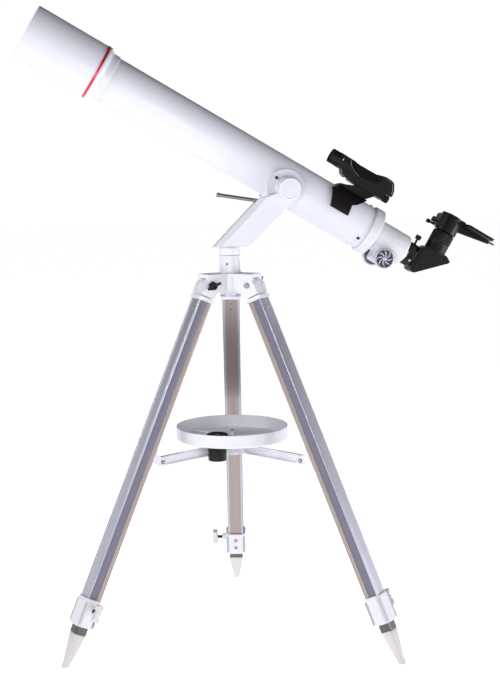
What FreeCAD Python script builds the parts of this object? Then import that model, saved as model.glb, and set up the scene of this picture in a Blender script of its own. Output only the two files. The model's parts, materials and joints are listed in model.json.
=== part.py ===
import FreeCAD, Part
import math
import os
import re

import Sketcher

# Refractor telescope on an alt-azimuth arm and a folding tripod.
# Row frame: +Z up, floor at Z = 0 under the azimuth axis, the tube in a plane parallel to XZ
# with its objective towards -X, the altitude axis parallel to Y.

SIZES = (
    # leg geometry
    ("pivot_radius", 44.0),
    ("pivot_height", 618.0),
    ("leg_tilt", 24.2),
    ("first_leg_angle", 79.4),
    ("leg_length", 677.542),
    # outer rail, an extrusion with a channel along each side
    ("rail_width", 30.0),
    ("rail_depth", 24.0),
    ("rail_wall", 2.2),
    ("rail_top", 28.0),
    ("rail_bottom", 600.0),
    ("channel_low", -3.5),
    ("channel_high", 10.0),
    ("channel_depth", 1.2),
    # inner rail
    ("inner_width", 25.0),
    ("inner_depth", 19.0),
    ("inner_wall", 2.0),
    ("inner_top", 200.0),
    ("inner_bottom", 619.0),
    # lock collar and its wing screw
    ("collar_top", 557.0),
    ("collar_bottom", 605.0),
    ("collar_half_width", 19.0),
    ("collar_half_depth", 16.0),
    ("lock_station", 573.0),
    ("lock_screw_radius", 3.0),
    ("wing_left", -45.0),
    ("wing_half_span", 15.0),
    # foot
    ("foot_top_radius", 11.4),
    ("foot_tip_radius", 4.4),
    # spreader
    ("bracket_station", 305.8),
    ("bracket_reach", 34.4),
    ("bracket_pin_radius", 2.0),
    ("strut_half_thickness", 4.0),
    ("strut_half_height", 8.0),
    ("strut_length", 116.28),
    ("strut_hole_radius", 3.2),
    ("strut_slope", 3.95),
    ("spreader_pivot_radius", 22.0),
    ("spreader_pivot_height", 333.0),
    ("spreader_pin_radius", 2.5),
    ("spreader_hub_radius", 13.0),
    ("spreader_bottom", 322.0),
    # tray
    ("tray_radius", 96.5),
    ("tray_base", 350.0),
    ("tray_height", 22.5),
    ("tray_floor", 2.5),
    ("tray_wall", 2.0),
    ("spare_x", -32.0),
    ("spare_y", -36.0),
    ("spare_base", 320.0),
    # shared fits
    ("barrel_radius", 15.87),
    ("barrel_bore_radius", 15.96),
    ("running_gap", 0.06),
    # tripod hub
    ("hub_bottom", 606.0),
    ("hub_top", 637.0),
    ("hub_radius", 24.0),
    ("fork_gap", 10.3),
    ("fork_outer", 18.3),
    ("pivot_bolt_radius", 3.0),
    # azimuth bearing
    ("azimuth_radius", 17.6),
    ("socket_bottom", 622.0),
    ("bearing_plug_radius", 10.0),
    ("spindle_bottom", 628.0),
    ("spindle_radius", 8.0),
    ("bearing_top", 667.6),
    ("arm_bottom", 681.5),
    # arm
    ("arm_left", -30.0),
    ("arm_front", -14.0),
    ("arm_back", 12.0),
    ("axle_radius", 6.0),
    ("arm_head_radius", 21.0),
    ("handle_radius", 3.3),
    # optical tube, stations measured forward from the altitude axis
    ("axis_x", 107.9),
    ("axis_y", 58.4),
    ("axis_z", 789.7),
    ("elevation", 30.3),
    ("altitude_drop", 13.0),
    ("tube_radius", 40.0),
    ("tube_wall", 1.2),
    ("tube_rear", -168.0),
    ("tube_front", 352.0),
    ("cell_rear", 349.0),
    ("ring_rear", 371.6),
    ("ring_front", 375.6),
    ("shield_front", 507.0),
    ("shield_radius", 48.0),
    ("shield_bore", 46.05),
    ("shield_mouth", 46.6),
    ("shield_seat", 15.0),
    ("lens_radius", 36.2),
    ("plate_radius", 33.0),
    ("rear_face", -187.0),
    ("rear_radius", 43.0),
    # focuser
    ("focuser_rear", -251.0),
    ("focuser_radius", 28.0),
    ("drawtube_radius", 18.5),
    ("drawtube_bore", 16.2),
    ("drawtube_rear", -262.0),
    ("drawtube_front", -110.0),
    ("pinion_station", -216.0),
    ("pinion_drop", 32.0),
    ("pinion_pitch_radius", 7.0),
    ("shaft_radius", 3.0),
    ("knob_inner", 30.0),
    ("knob_radius", 18.3),
    # diagonal, eyepiece and phone adapter
    ("adapter_rear", -270.5),
    ("adapter_radius", 21.0),
    ("adapter_screw_station", -264.0),
    ("eyepiece_station", -302.0),
    ("housing_half_width", 18.5),
    ("socket_top", 44.0),
    ("socket_radius", 19.6),
    ("clamp_bottom", 65.8),
    ("clamp_top", 98.0),
    ("clamp_radius", 20.5),
    ("plate_front", -324.6),
    ("plate_half_width", 34.0),
    # finder
    ("finder_height", 81.0),
    ("finder_floor", 57.5),
    ("finder_tube_radius", 13.0),
    ("finder_bore", 9.0),
    ("finder_half_width", 12.5),
    ("dial_height", 63.2),
    ("dial_radius", 6.6),
    ("dial_front", -169.5),
)

doc = FreeCAD.newDocument("RefractorTelescope")
sheet = doc.addObject("Spreadsheet::Sheet", "Sizes")
for row, (alias, number) in enumerate(SIZES, start=1):
    sheet.set(f"A{row}", alias)
    sheet.set(f"B{row}", str(number))
    sheet.setAlias(f"B{row}", alias)
doc.recompute()

NODES = []
TURN_TO = {
    "x": FreeCAD.Rotation(FreeCAD.Vector(0, 1, 0), 90),
    "y": FreeCAD.Rotation(FreeCAD.Vector(1, 0, 0), -90),
    "-y": FreeCAD.Rotation(FreeCAD.Vector(1, 0, 0), 90),
    "z": FreeCAD.Rotation(),
}


# ---------------------------------------------------------------- helpers

def expression(text):
    """A sum of aliases and numbers as a FreeCAD expression on the sheet."""
    return re.sub(r"[a-z][a-z_]*[a-z]", lambda word: "Sizes." + word.group(), str(text))


def size(text):
    """The number that a sum of aliases stands for."""
    return float(sheet.evalExpression(expression(text)))


def link(obj, prop, text):
    obj.setExpression(prop, expression(text))


def put(obj, at):
    for axis, text in zip("xyz", at):
        link(obj, "Placement.Base." + axis, text)
    return obj


def block(name, x, y, z):
    """A box between two planes on each axis, each given as (low, high)."""
    obj = doc.addObject("Part::Box", name)
    for prop, (low, high) in zip(("Length", "Width", "Height"), (x, y, z)):
        link(obj, prop, f"({high}) - ({low})")
    return put(obj, (x[0], y[0], z[0]))


def rod(name, radius, length, at, along="z"):
    obj = doc.addObject("Part::Cylinder", name)
    link(obj, "Radius", radius)
    link(obj, "Height", length)
    obj.Placement.Rotation = TURN_TO[along]
    return put(obj, at)


def cone(name, low_radius, high_radius, length, at, along="z"):
    obj = doc.addObject("Part::Cone", name)
    link(obj, "Radius1", low_radius)
    link(obj, "Radius2", high_radius)
    link(obj, "Height", length)
    obj.Placement.Rotation = TURN_TO[along]
    return put(obj, at)


def fuse(name, *shapes):
    obj = doc.addObject("Part::MultiFuse", name)
    obj.Shapes = list(shapes)
    obj.Refine = True
    return obj


def cut(name, base, *tools):
    obj = doc.addObject("Part::Cut", name)
    obj.Base = base
    obj.Tool = tools[0] if len(tools) == 1 else fuse(name + "_tools", *tools)
    return obj


def common(name, *shapes):
    obj = doc.addObject("Part::MultiCommon", name)
    obj.Shapes = list(shapes)
    return obj


def group(name, *shapes):
    """Identical loose pieces that share one node."""
    obj = doc.addObject("Part::Compound", name)
    obj.Links = list(shapes)
    return obj


def soften(name, base, radius, wanted):
    """Round the edges of base that the function wanted picks."""
    doc.recompute()
    obj = doc.addObject("Part::Fillet", name)
    obj.Base = base
    edges = enumerate(base.Shape.Edges, start=1)
    obj.Edges = [(index, radius, radius) for index, edge in edges if wanted(edge)]
    return obj


def runs_along(axis):
    """Picks straight edges parallel to an axis."""
    def wanted(edge):
        ends = [vertex.Point for vertex in edge.Vertexes]
        if len(ends) < 2 or not isinstance(edge.Curve, Part.Line):
            return False
        return abs((ends[1] - ends[0]).normalize().dot(axis)) > 0.999
    return wanted


def origin_plane(body, role):
    return next(item for item in body.Origin.OriginFeatures if item.Role == role)


def outline(body, name, points, plane="XZ_Plane"):
    """A closed sketch on a plane of the body; each corner is a pair of sheet sums."""
    sketch = body.newObject("Sketcher::SketchObject", name)
    sketch.AttachmentSupport = [(origin_plane(body, plane), "")]
    sketch.MapMode = "FlatFace"
    corners = [FreeCAD.Vector(size(across), size(up), 0) for across, up in points]
    count = len(corners)
    for index in range(count):
        sketch.addGeometry(Part.LineSegment(corners[index], corners[(index + 1) % count]), False)
    for index in range(count):
        sketch.addConstraint(Sketcher.Constraint("Coincident", index, 2, (index + 1) % count, 1))
    for index, (across, up) in enumerate(points):
        for kind, text, axis in (("DistanceX", across, -2), ("DistanceY", up, -1)):
            if size(text) == 0:
                sketch.addConstraint(Sketcher.Constraint("PointOnObject", index, 1, axis))
                continue
            place = sketch.addConstraint(Sketcher.Constraint(kind, -1, 1, index, 1, size(text)))
            link(sketch, f"Constraints[{place}]", text)
    return sketch


def lathe(name, points):
    """A turned body about Z from an outline of (radius, height) corners."""
    body = doc.addObject("PartDesign::Body", name)
    sketch = outline(body, name + "_profile", points)
    turned = body.newObject("PartDesign::Revolution", name + "_turned")
    turned.Profile = sketch
    turned.ReferenceAxis = (sketch, ["V_Axis"])
    turned.Angle = 360
    return body


def slab(name, points, thickness):
    """A plate with an XZ outline, as thick each side of its XZ plane."""
    body = doc.addObject("PartDesign::Body", name)
    sketch = outline(body, name + "_outline", points)
    pad = body.newObject("PartDesign::Pad", name + "_pad")
    pad.Profile = sketch
    pad.Midplane = True
    link(pad, "Length", thickness)
    return body


def move(obj, x=0, y=0, z=0, along="z"):
    """Set a piece down at a point of its assembly with its own Z along an axis."""
    obj.Placement = FreeCAD.Placement(FreeCAD.Vector(x, y, z), TURN_TO[along])
    return obj


def node(obj, label, placement=None):
    """Register a finished sub-part, set down in the row frame."""
    if placement is not None:
        obj.Placement = placement.multiply(obj.Placement)
    obj.Label = label
    NODES.append(obj)
    return obj


# ---------------------------------------------------------------- assembly frames

def radial_frame(angle, radius=0.0, height=0.0):
    """X across, Y outwards and Z up, at a distance from the azimuth axis."""
    turn = FreeCAD.Rotation(FreeCAD.Vector(0, 0, 1), angle - 90)
    return FreeCAD.Placement(turn.multVec(FreeCAD.Vector(0, radius, height)), turn)


def leg_frame(angle):
    """The leg pivot, with Z running up the leg and Y facing outwards."""
    tilt = FreeCAD.Placement(
        FreeCAD.Vector(0, 0, 0), FreeCAD.Rotation(FreeCAD.Vector(1, 0, 0), size("leg_tilt"))
    )
    return radial_frame(angle, size("pivot_radius"), size("pivot_height")).multiply(tilt)


def strut_frame(angle):
    """The strut's inner pivot, with Y along the strut."""
    slope = FreeCAD.Placement(
        FreeCAD.Vector(0, 0, 0), FreeCAD.Rotation(FreeCAD.Vector(1, 0, 0), -size("strut_slope"))
    )
    place = radial_frame(angle, size("spreader_pivot_radius"), size("spreader_pivot_height"))
    return place.multiply(slope)


# The optical axis: Z forward along the tube, X up and square to it, Y to the far side.
TUBE = FreeCAD.Placement(
    FreeCAD.Vector(size("axis_x"), size("axis_y"), size("axis_z")),
    FreeCAD.Rotation(FreeCAD.Vector(0, 1, 0), size("elevation") - 90),
)
LEGS = {
    "back": size("first_leg_angle"),
    "left": size("first_leg_angle + 120"),
    "right": size("first_leg_angle + 240"),
}


# ---------------------------------------------------------------- one leg

def leg_head(side, frame):
    """Casting with a tongue in the hub's fork, a collar and a plug in the rail."""
    tongue = rod(f"{side}_tongue", 11, 20, ("-10", "0", "0"), "x")
    neck = block(f"{side}_neck", ("-10", "10"), ("-11", "11"), ("-23", "0"))
    ring = block(f"{side}_ring", ("-18", "18"), ("-15", "15"), ("-rail_top", "-22"))
    ring_round = soften(f"{side}_ring_round", ring, 4.0, runs_along(FreeCAD.Vector(0, 0, 1)))
    plug = block(
        f"{side}_plug",
        ("rail_wall + 0.2 - rail_width / 2", "rail_width / 2 - rail_wall - 0.2"),
        ("rail_wall + 0.2 - rail_depth / 2", "rail_depth / 2 - rail_wall - 0.2"),
        ("-62", "-25"),
    )
    solid = fuse(f"{side}_head_solid", tongue, neck, ring_round, plug)
    bore = rod(f"{side}_head_bore", "pivot_bolt_radius + running_gap", 30, ("-15", "0", "0"), "x")
    node(cut(f"{side}_head", solid, bore), f"leg_head_{side}", frame)


def leg_rail(side, frame):
    """Hollow extrusion with a shallow channel along both sides."""
    body = doc.addObject("PartDesign::Body", f"{side}_rail_body")
    edge = "rail_width / 2"
    channel = "rail_width / 2 - channel_depth"
    section = (
        (f"-{edge}", "-rail_depth / 2"),
        (edge, "-rail_depth / 2"),
        (edge, "channel_low"),
        (channel, "channel_low"),
        (channel, "channel_high"),
        (edge, "channel_high"),
        (edge, "rail_depth / 2"),
        (f"-{edge}", "rail_depth / 2"),
        (f"-{edge}", "channel_high"),
        (f"-({channel})", "channel_high"),
        (f"-({channel})", "channel_low"),
        (f"-{edge}", "channel_low"),
    )
    pad = body.newObject("PartDesign::Pad", f"{side}_rail_pad")
    pad.Profile = outline(body, f"{side}_rail_section", section, "XY_Plane")
    link(pad, "Length", "rail_bottom - rail_top")
    cavity = hollow_block(f"{side}_rail_cavity", "rail_width", "rail_depth", "rail_wall", "0", "rail_bottom")
    hole = rod(
        f"{side}_rail_lock_hole",
        "lock_screw_radius + 0.5",
        12,
        ("-rail_width / 2 - 2", "0", "rail_bottom - lock_station"),
        "x",
    )
    rail = cut(f"{side}_rail", body, cavity, hole)
    node(move(rail, z=-size("rail_bottom")), f"leg_rail_{side}", frame)


def hollow_block(name, width, depth, wall, low, high):
    """The inside of a rectangular tube, a little longer than the tube."""
    return block(
        name,
        (f"{wall} - {width} / 2", f"{width} / 2 - {wall}"),
        (f"{wall} - {depth} / 2", f"{depth} / 2 - {wall}"),
        (f"{low} - 1", f"{high} + 1"),
    )


def lock_collar(side, frame):
    """Moulded collar on the rail's end, bored for the wing screw."""
    shell = block(
        f"{side}_collar_shell",
        ("-collar_half_width", "collar_half_width"),
        ("-collar_half_depth", "collar_half_depth"),
        ("-collar_bottom", "-collar_top"),
    )
    shell_round = soften(f"{side}_collar_round", shell, 4.0, runs_along(FreeCAD.Vector(0, 0, 1)))
    boss = rod(f"{side}_collar_boss", 7, 12, ("-26", "0", "-lock_station"), "x")
    seat = block(
        f"{side}_collar_seat",
        ("-rail_width / 2 - 0.1", "rail_width / 2 + 0.1"),
        ("-rail_depth / 2 - 0.1", "rail_depth / 2 + 0.1"),
        ("-rail_bottom - 0.2", "1 - collar_top"),
    )
    throat = block(
        f"{side}_collar_throat",
        ("-inner_width / 2 - 0.4", "inner_width / 2 + 0.4"),
        ("-inner_depth / 2 - 0.4", "inner_depth / 2 + 0.4"),
        ("-collar_bottom - 1", "-rail_bottom"),
    )
    bore = rod(
        f"{side}_collar_bore",
        "lock_screw_radius + running_gap",
        20,
        ("-30", "0", "-lock_station"),
        "x",
    )
    solid = fuse(f"{side}_collar_solid", shell_round, boss)
    node(cut(f"{side}_collar", solid, seat, throat, bore), f"lock_collar_{side}", frame)


def lock_wing(side, frame):
    """Wing screw whose end stands just off the inner rail."""
    shaft = rod(
        f"{side}_lock_shaft", "lock_screw_radius", "-wing_left - inner_width / 2 - 0.3",
        ("wing_left", "0", "-lock_station"), "x",
    )
    hub = rod(f"{side}_lock_hub", 5.5, 10, ("wing_left", "0", "-lock_station"), "x")
    wing = block(
        f"{side}_lock_wing_blank",
        ("wing_left", "wing_left + 9"),
        ("-2.2", "2.2"),
        ("-lock_station - wing_half_span", "wing_half_span - lock_station"),
    )
    wing_round = soften(f"{side}_lock_wing_round", wing, 4.0, runs_along(FreeCAD.Vector(0, 1, 0)))
    node(fuse(f"{side}_lock", shaft, hub, wing_round), f"lock_wing_{side}", frame)


def inner_rail(side, frame):
    """Rectangular tube that slides in the outer rail."""
    outer = block(
        f"{side}_inner_outer",
        ("-inner_width / 2", "inner_width / 2"),
        ("-inner_depth / 2", "inner_depth / 2"),
        ("-inner_bottom", "-inner_top"),
    )
    cavity = hollow_block(
        f"{side}_inner_cavity", "inner_width", "inner_depth", "inner_wall", "-inner_bottom", "-inner_top"
    )
    node(cut(f"{side}_inner", outer, cavity), f"inner_rail_{side}", frame)


def foot_tip(side, frame):
    """Tapered foot, cut level where it stands on the floor."""
    collar = block(
        f"{side}_foot_collar",
        ("-inner_width / 2 - 0.6", "inner_width / 2 + 0.6"),
        ("-inner_depth / 2 - 0.6", "inner_depth / 2 + 0.6"),
        ("-inner_bottom - 8", "-inner_bottom"),
    )
    collar_round = soften(f"{side}_foot_collar_round", collar, 3.0, runs_along(FreeCAD.Vector(0, 0, 1)))
    plug = block(
        f"{side}_foot_plug",
        ("inner_wall + 0.2 - inner_width / 2", "inner_width / 2 - inner_wall - 0.2"),
        ("inner_wall + 0.2 - inner_depth / 2", "inner_depth / 2 - inner_wall - 0.2"),
        ("-inner_bottom - 2", "24 - inner_bottom"),
    )
    taper = cone(
        f"{side}_foot_taper", "foot_tip_radius", "foot_top_radius", "leg_length - inner_bottom",
        ("0", "0", "-leg_length - 6"),
    )
    floor = doc.addObject("Part::Box", f"{side}_foot_floor")
    floor.Length = 80
    floor.Width = 80
    floor.Height = 80
    level = FreeCAD.Placement(
        FreeCAD.Vector(0, 0, -size("leg_length")),
        FreeCAD.Rotation(FreeCAD.Vector(1, 0, 0), -size("leg_tilt")),
    )
    floor.Placement = level.multiply(
        FreeCAD.Placement(FreeCAD.Vector(-40, -40, -80), FreeCAD.Rotation())
    )
    solid = fuse(f"{side}_foot_solid", collar_round, plug, taper)
    node(cut(f"{side}_foot", solid, floor), f"foot_tip_{side}", frame)


def spreader_bracket(side, frame):
    """Plate on the rail's inner face with two ears and the strut's pin."""
    at = "-bracket_station"
    base = block(
        f"{side}_bracket_base", ("-13", "13"), ("-rail_depth / 2 - 3", "-rail_depth / 2"),
        (f"{at} - 18", f"{at} + 18"),
    )
    solids = [base]
    for name, low, high in (("near", "-8.4", "-5.4"), ("far", "5.4", "8.4")):
        solids.append(block(
            f"{side}_bracket_ear_{name}", (low, high), ("-bracket_reach", "-rail_depth / 2 - 2"),
            (f"{at} - 7", f"{at} + 7"),
        ))
        solids.append(rod(
            f"{side}_bracket_eye_{name}", 7, f"{high} - ({low})", (low, "-bracket_reach", at), "x"
        ))
    solids.append(rod(f"{side}_bracket_pin", "bracket_pin_radius", 20, ("-10", "-bracket_reach", at), "x"))
    node(fuse(f"{side}_bracket", *solids), f"spreader_bracket_{side}", frame)


def strut(side, angle):
    """Flat bar from the spreader to the leg, with a slack hole at the leg's end."""
    half = "strut_half_thickness"
    bar = block(
        f"{side}_strut_bar", (f"-{half}", half), ("0", "strut_length"),
        ("-strut_half_height", "strut_half_height"),
    )
    ends = [
        rod(f"{side}_strut_end_{name}", "strut_half_height", f"{half} * 2", (f"-{half}", reach, "0"), "x")
        for name, reach in (("inner", "0"), ("outer", "strut_length"))
    ]
    inner_bore = rod(
        f"{side}_strut_inner_bore", "spreader_pin_radius + running_gap", 20, ("-10", "0", "0"), "x"
    )
    outer_bore = rod(
        f"{side}_strut_outer_bore", "strut_hole_radius", 20, ("-10", "strut_length", "0"), "x"
    )
    solid = fuse(f"{side}_strut_solid", bar, *ends)
    node(cut(f"{side}_strut", solid, inner_bore, outer_bore), f"strut_{side}", strut_frame(angle))


# ---------------------------------------------------------------- tripod top and spreader

def tripod_hub():
    """Round boss with three forks for the leg heads and a socket for the azimuth bearing."""
    boss = rod("hub_boss", "hub_radius", "hub_top - hub_bottom", ("0", "0", "hub_bottom"))
    low = "hub_bottom - pivot_height"
    high = "hub_top - pivot_height"
    solids = [boss]
    bores = [rod("hub_socket", "bearing_plug_radius + 0.05", 20, ("0", "0", "socket_bottom"))]
    for side, angle in LEGS.items():
        pieces = [block(
            f"hub_roof_{side}", ("-fork_outer", "fork_outer"), ("-pivot_radius", "8"),
            (f"{high} - 6.5", high),
        )]
        for name, near, far in (("a", "-fork_outer", "-fork_gap"), ("b", "fork_gap", "fork_outer")):
            pieces.append(block(
                f"hub_cheek_{side}_{name}", (near, far), ("18 - pivot_radius", "8"), (low, high),
            ))
            skirt = block(f"hub_skirt_{side}_{name}", (near, far), ("-13", "13"), ("-20", "0"))
            skirt_round = soften(
                f"hub_skirt_round_{side}_{name}", skirt, 3.0, runs_along(FreeCAD.Vector(1, 0, 0))
            )
            leaning = group(f"hub_skirt_set_{side}_{name}", skirt_round)
            leaning.Placement = FreeCAD.Placement(
                FreeCAD.Vector(0, 0, 0), FreeCAD.Rotation(FreeCAD.Vector(1, 0, 0), size("leg_tilt"))
            )
            pieces.append(leaning)
            pieces.append(rod(f"hub_eye_{side}_{name}", 12, f"{far} - ({near})", (near, "0", "0"), "x"))
        fork = fuse(f"hub_fork_{side}", *pieces)
        place = radial_frame(angle, size("pivot_radius"), size("pivot_height"))
        fork.Placement = place
        solids.append(fork)
        bore = rod(f"hub_bore_{side}", "pivot_bolt_radius + 0.05", 60, ("-30", "0", "0"), "x")
        turned = group(f"hub_bore_set_{side}", bore)
        turned.Placement = place
        bores.append(turned)
    # Each fork's slot is kept open into the boss for the leg head's tongue.
    for side, angle in LEGS.items():
        slot = block(
            f"hub_slot_{side}", ("-fork_gap", "fork_gap"), ("-12.5", "20"), (f"{low} - 1", f"{high} - 6.5"),
        )
        placed = group(f"hub_slot_set_{side}", slot)
        placed.Placement = radial_frame(angle, size("pivot_radius"), size("pivot_height"))
        bores.append(placed)
    node(cut("hub", fuse("hub_solid", *solids), *bores), "tripod_hub")


def pivot_bolts():
    """Three bolts through the forks, each with a wing nut on the same side."""
    bolts = []
    nuts = []
    for side, angle in LEGS.items():
        place = radial_frame(angle, size("pivot_radius"), size("pivot_height"))
        shaft = rod(f"pivot_shaft_{side}", "pivot_bolt_radius", 48, ("-29", "0", "0"), "x")
        head = rod(f"pivot_head_{side}", 5, 4, ("fork_outer + 0.2", "0", "0"), "x")
        bolt = fuse(f"pivot_bolt_{side}", shaft, head)
        bolt.Placement = place
        bolts.append(bolt)
        barrel = rod(f"nut_barrel_{side}", 6, 8, ("-fork_outer - 8.3", "0", "0"), "x")
        wings = [
            block(
                f"nut_wing_{side}_{name}", ("-fork_outer - 9.5", "-fork_outer - 2.5"), ("-1.5", "1.5"), reach,
            )
            for name, reach in (("up", ("4", "13")), ("down", ("-13", "-4")))
        ]
        hole = rod(f"nut_hole_{side}", "pivot_bolt_radius + 0.02", 20, ("-fork_outer - 14", "0", "0"), "x")
        nut = cut(f"wing_nut_{side}", fuse(f"nut_solid_{side}", barrel, *wings), hole)
        nut.Placement = place
        nuts.append(nut)
    node(group("pivot_bolt_set", *bolts), "leg_pivot_bolts")
    node(group("wing_nut_set", *nuts), "leg_wing_nuts")


def azimuth_bearing():
    """Fixed sleeve on the hub and the turning spindle that stands in it."""
    sleeve = lathe("sleeve", (
        ("0", "0"),
        ("bearing_plug_radius", "0"),
        ("bearing_plug_radius", "hub_top - socket_bottom"),
        ("azimuth_radius", "hub_top - socket_bottom"),
        ("azimuth_radius", "bearing_top - socket_bottom"),
        ("spindle_radius + running_gap", "bearing_top - socket_bottom"),
        ("spindle_radius + running_gap", "5"),
        ("0", "5"),
    ))
    recess = rod("sleeve_recess", 3.2, 5, ("-azimuth_radius - 1", "0", "31"), "x")
    pierced = cut("sleeve_pierced", sleeve, recess)
    pierced.Placement = FreeCAD.Placement(
        FreeCAD.Vector(0, 0, size("socket_bottom")), FreeCAD.Rotation(FreeCAD.Vector(0, 0, 1), 66)
    )
    node(pierced, "azimuth_base")
    spindle = lathe("spindle", (
        ("0", "0"),
        ("spindle_radius", "0"),
        ("spindle_radius", "bearing_top - spindle_bottom + 0.4"),
        ("azimuth_radius", "bearing_top - spindle_bottom + 0.4"),
        ("azimuth_radius", "arm_bottom - spindle_bottom - 1"),
        ("azimuth_radius - 1", "arm_bottom - spindle_bottom"),
        ("0", "arm_bottom - spindle_bottom"),
    ))
    node(move(spindle, z=size("spindle_bottom")), "azimuth_spindle")


def spreader_hub():
    """Centre piece under the tray with three pairs of ears and their pins."""
    pivot = "spreader_pivot_height"
    solids = [
        rod(
            "spreader_core", "spreader_hub_radius", "tray_base - 0.1 - spreader_bottom",
            ("0", "0", "spreader_bottom"),
        ),
        rod("spreader_flange", 24, 4, ("0", "0", "tray_base - 4.1")),
    ]
    for side, angle in LEGS.items():
        pieces = []
        for name, near, far in (("a", "-7.4", "-4.4"), ("b", "4.4", "7.4")):
            pieces.append(block(
                f"spreader_ear_{side}_{name}", (near, far), ("6 - spreader_pivot_radius", "0"), ("-8", "8"),
            ))
            pieces.append(rod(f"spreader_eye_{side}_{name}", 8, f"{far} - ({near})", (near, "0", "0"), "x"))
        pieces.append(rod(f"spreader_pin_{side}", "spreader_pin_radius", 18, ("-9", "0", "0"), "x"))
        ears = fuse(f"spreader_ears_{side}", *pieces)
        ears.Placement = radial_frame(angle, size("spreader_pivot_radius"), size(pivot))
        solids.append(ears)
    node(fuse("spreader", *solids), "spreader_hub")


def tray():
    """Round dish with a centre post and one hole for a spare eyepiece."""
    dish = lathe("dish", (
        ("0", "0"),
        ("tray_radius - 3", "0"),
        ("tray_radius", "3"),
        ("tray_radius", "tray_height"),
        ("tray_radius - tray_wall", "tray_height"),
        ("tray_radius - tray_wall", "tray_floor + 2"),
        ("tray_radius - tray_wall - 2", "tray_floor"),
        ("5", "tray_floor"),
        ("4", "13"),
        ("0", "13"),
    ))
    rim = rod("tray_hole_rim", 19, 3.5, ("spare_x", "spare_y", "0.5"))
    hole = rod("tray_hole", "barrel_bore_radius + 0.1", 10, ("spare_x", "spare_y", "-2"))
    pan = cut("pan", fuse("pan_solid", dish, rim), hole)
    node(move(pan, z=size("tray_base")), "tray")


def spare_eyepiece():
    """Second eyepiece, barrel down in the tray's hole."""
    piece = lathe("spare_body", (
        ("13", "0"),
        ("barrel_radius", "0"),
        ("barrel_radius", "34.1"),
        ("18.5", "34.1"),
        ("18.5", "45"),
        ("17", "46.5"),
        ("10", "46.5"),
        ("8", "44.5"),
        ("0", "44.5"),
        ("0", "31"),
        ("13", "31"),
    ))
    node(move(piece, size("spare_x"), size("spare_y"), size("spare_base")), "spare_eyepiece")


# ---------------------------------------------------------------- arm

def pivot_point():
    """The altitude axis where it crosses the tube's upright plane."""
    return TUBE.multVec(FreeCAD.Vector(-size("altitude_drop"), 0, 0))


def mount_arm():
    """Single leaning arm from the azimuth spindle up to the altitude axis."""
    pivot = pivot_point()
    reach = pivot.x - size("arm_left")
    rise = pivot.z - size("arm_bottom")
    blade = slab("blade", (
        ("2", "0"),
        ("54", "0"),
        ("62", "3"),
        ("82", "20"),
        (f"{reach:.3f} + arm_head_radius * 0.71", f"{rise:.3f} - arm_head_radius * 0.70"),
        (f"{reach:.3f}", f"{rise:.3f}"),
        (f"{reach:.3f} - arm_head_radius * 0.97", f"{rise:.3f} - 8"),
        ("80", "80"),
    ), "arm_back - arm_front")
    doc.recompute()
    front = -size("arm_back - arm_front") / 2

    def bevelled(edge):
        middle = edge.CenterOfMass
        return middle.y < front + 0.1 and middle.x < 50 and middle.z > 30

    pad = blade.Tip
    names = [f"Edge{i}" for i, e in enumerate(pad.Shape.Edges, start=1) if bevelled(e)]
    bevel = blade.newObject("PartDesign::Chamfer", "blade_bevel")
    bevel.Base = (pad, names)
    bevel.Size = 8
    middle_y = size("arm_front + arm_back") / 2
    corner = FreeCAD.Vector(size("arm_left"), middle_y, size("arm_bottom"))
    blade.Placement = FreeCAD.Placement(corner, FreeCAD.Rotation())
    head = doc.addObject("Part::Cylinder", "arm_head")
    link(head, "Radius", "arm_head_radius")
    link(head, "Height", "arm_back - arm_front")
    move(head, pivot.x, size("arm_front"), pivot.z, "y")
    bore = doc.addObject("Part::Cylinder", "arm_bore")
    link(bore, "Radius", "axle_radius + running_gap")
    bore.Height = 60
    move(bore, pivot.x, size("arm_front") - 10, pivot.z, "y")
    socket = doc.addObject("Part::Cylinder", "handle_socket")
    link(socket, "Radius", "handle_radius + 0.05")
    socket.Height = 40
    socket.Placement = handle_placement()
    node(cut("arm", fuse("arm_solid", blade, head), bore, socket), "mount_arm")


HANDLE_ROOT = FreeCAD.Vector(64.5, 0, 755.7)
HANDLE_END = FreeCAD.Vector(-20.9, 0, 770.1)


def handle_placement():
    """Root of the steering rod inside the arm, its Z running out towards the free end."""
    turn = FreeCAD.Rotation(FreeCAD.Vector(0, 0, 1), HANDLE_END - HANDLE_ROOT)
    return FreeCAD.Placement(HANDLE_ROOT, turn)


def steering_rod():
    """Straight rod with a slightly thicker end."""
    length = f"{(HANDLE_END - HANDLE_ROOT).Length:.1f}"
    shaft = rod("handle_shaft", "handle_radius", length, ("0", "0", "0"))
    tip = rod("handle_tip", "handle_radius + 0.5", 3, ("0", "0", f"{length} - 3"))
    handle = fuse("handle", shaft, tip)
    handle.Placement = handle_placement()
    node(handle, "steering_rod")


# ---------------------------------------------------------------- altitude axis, on the tube

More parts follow.
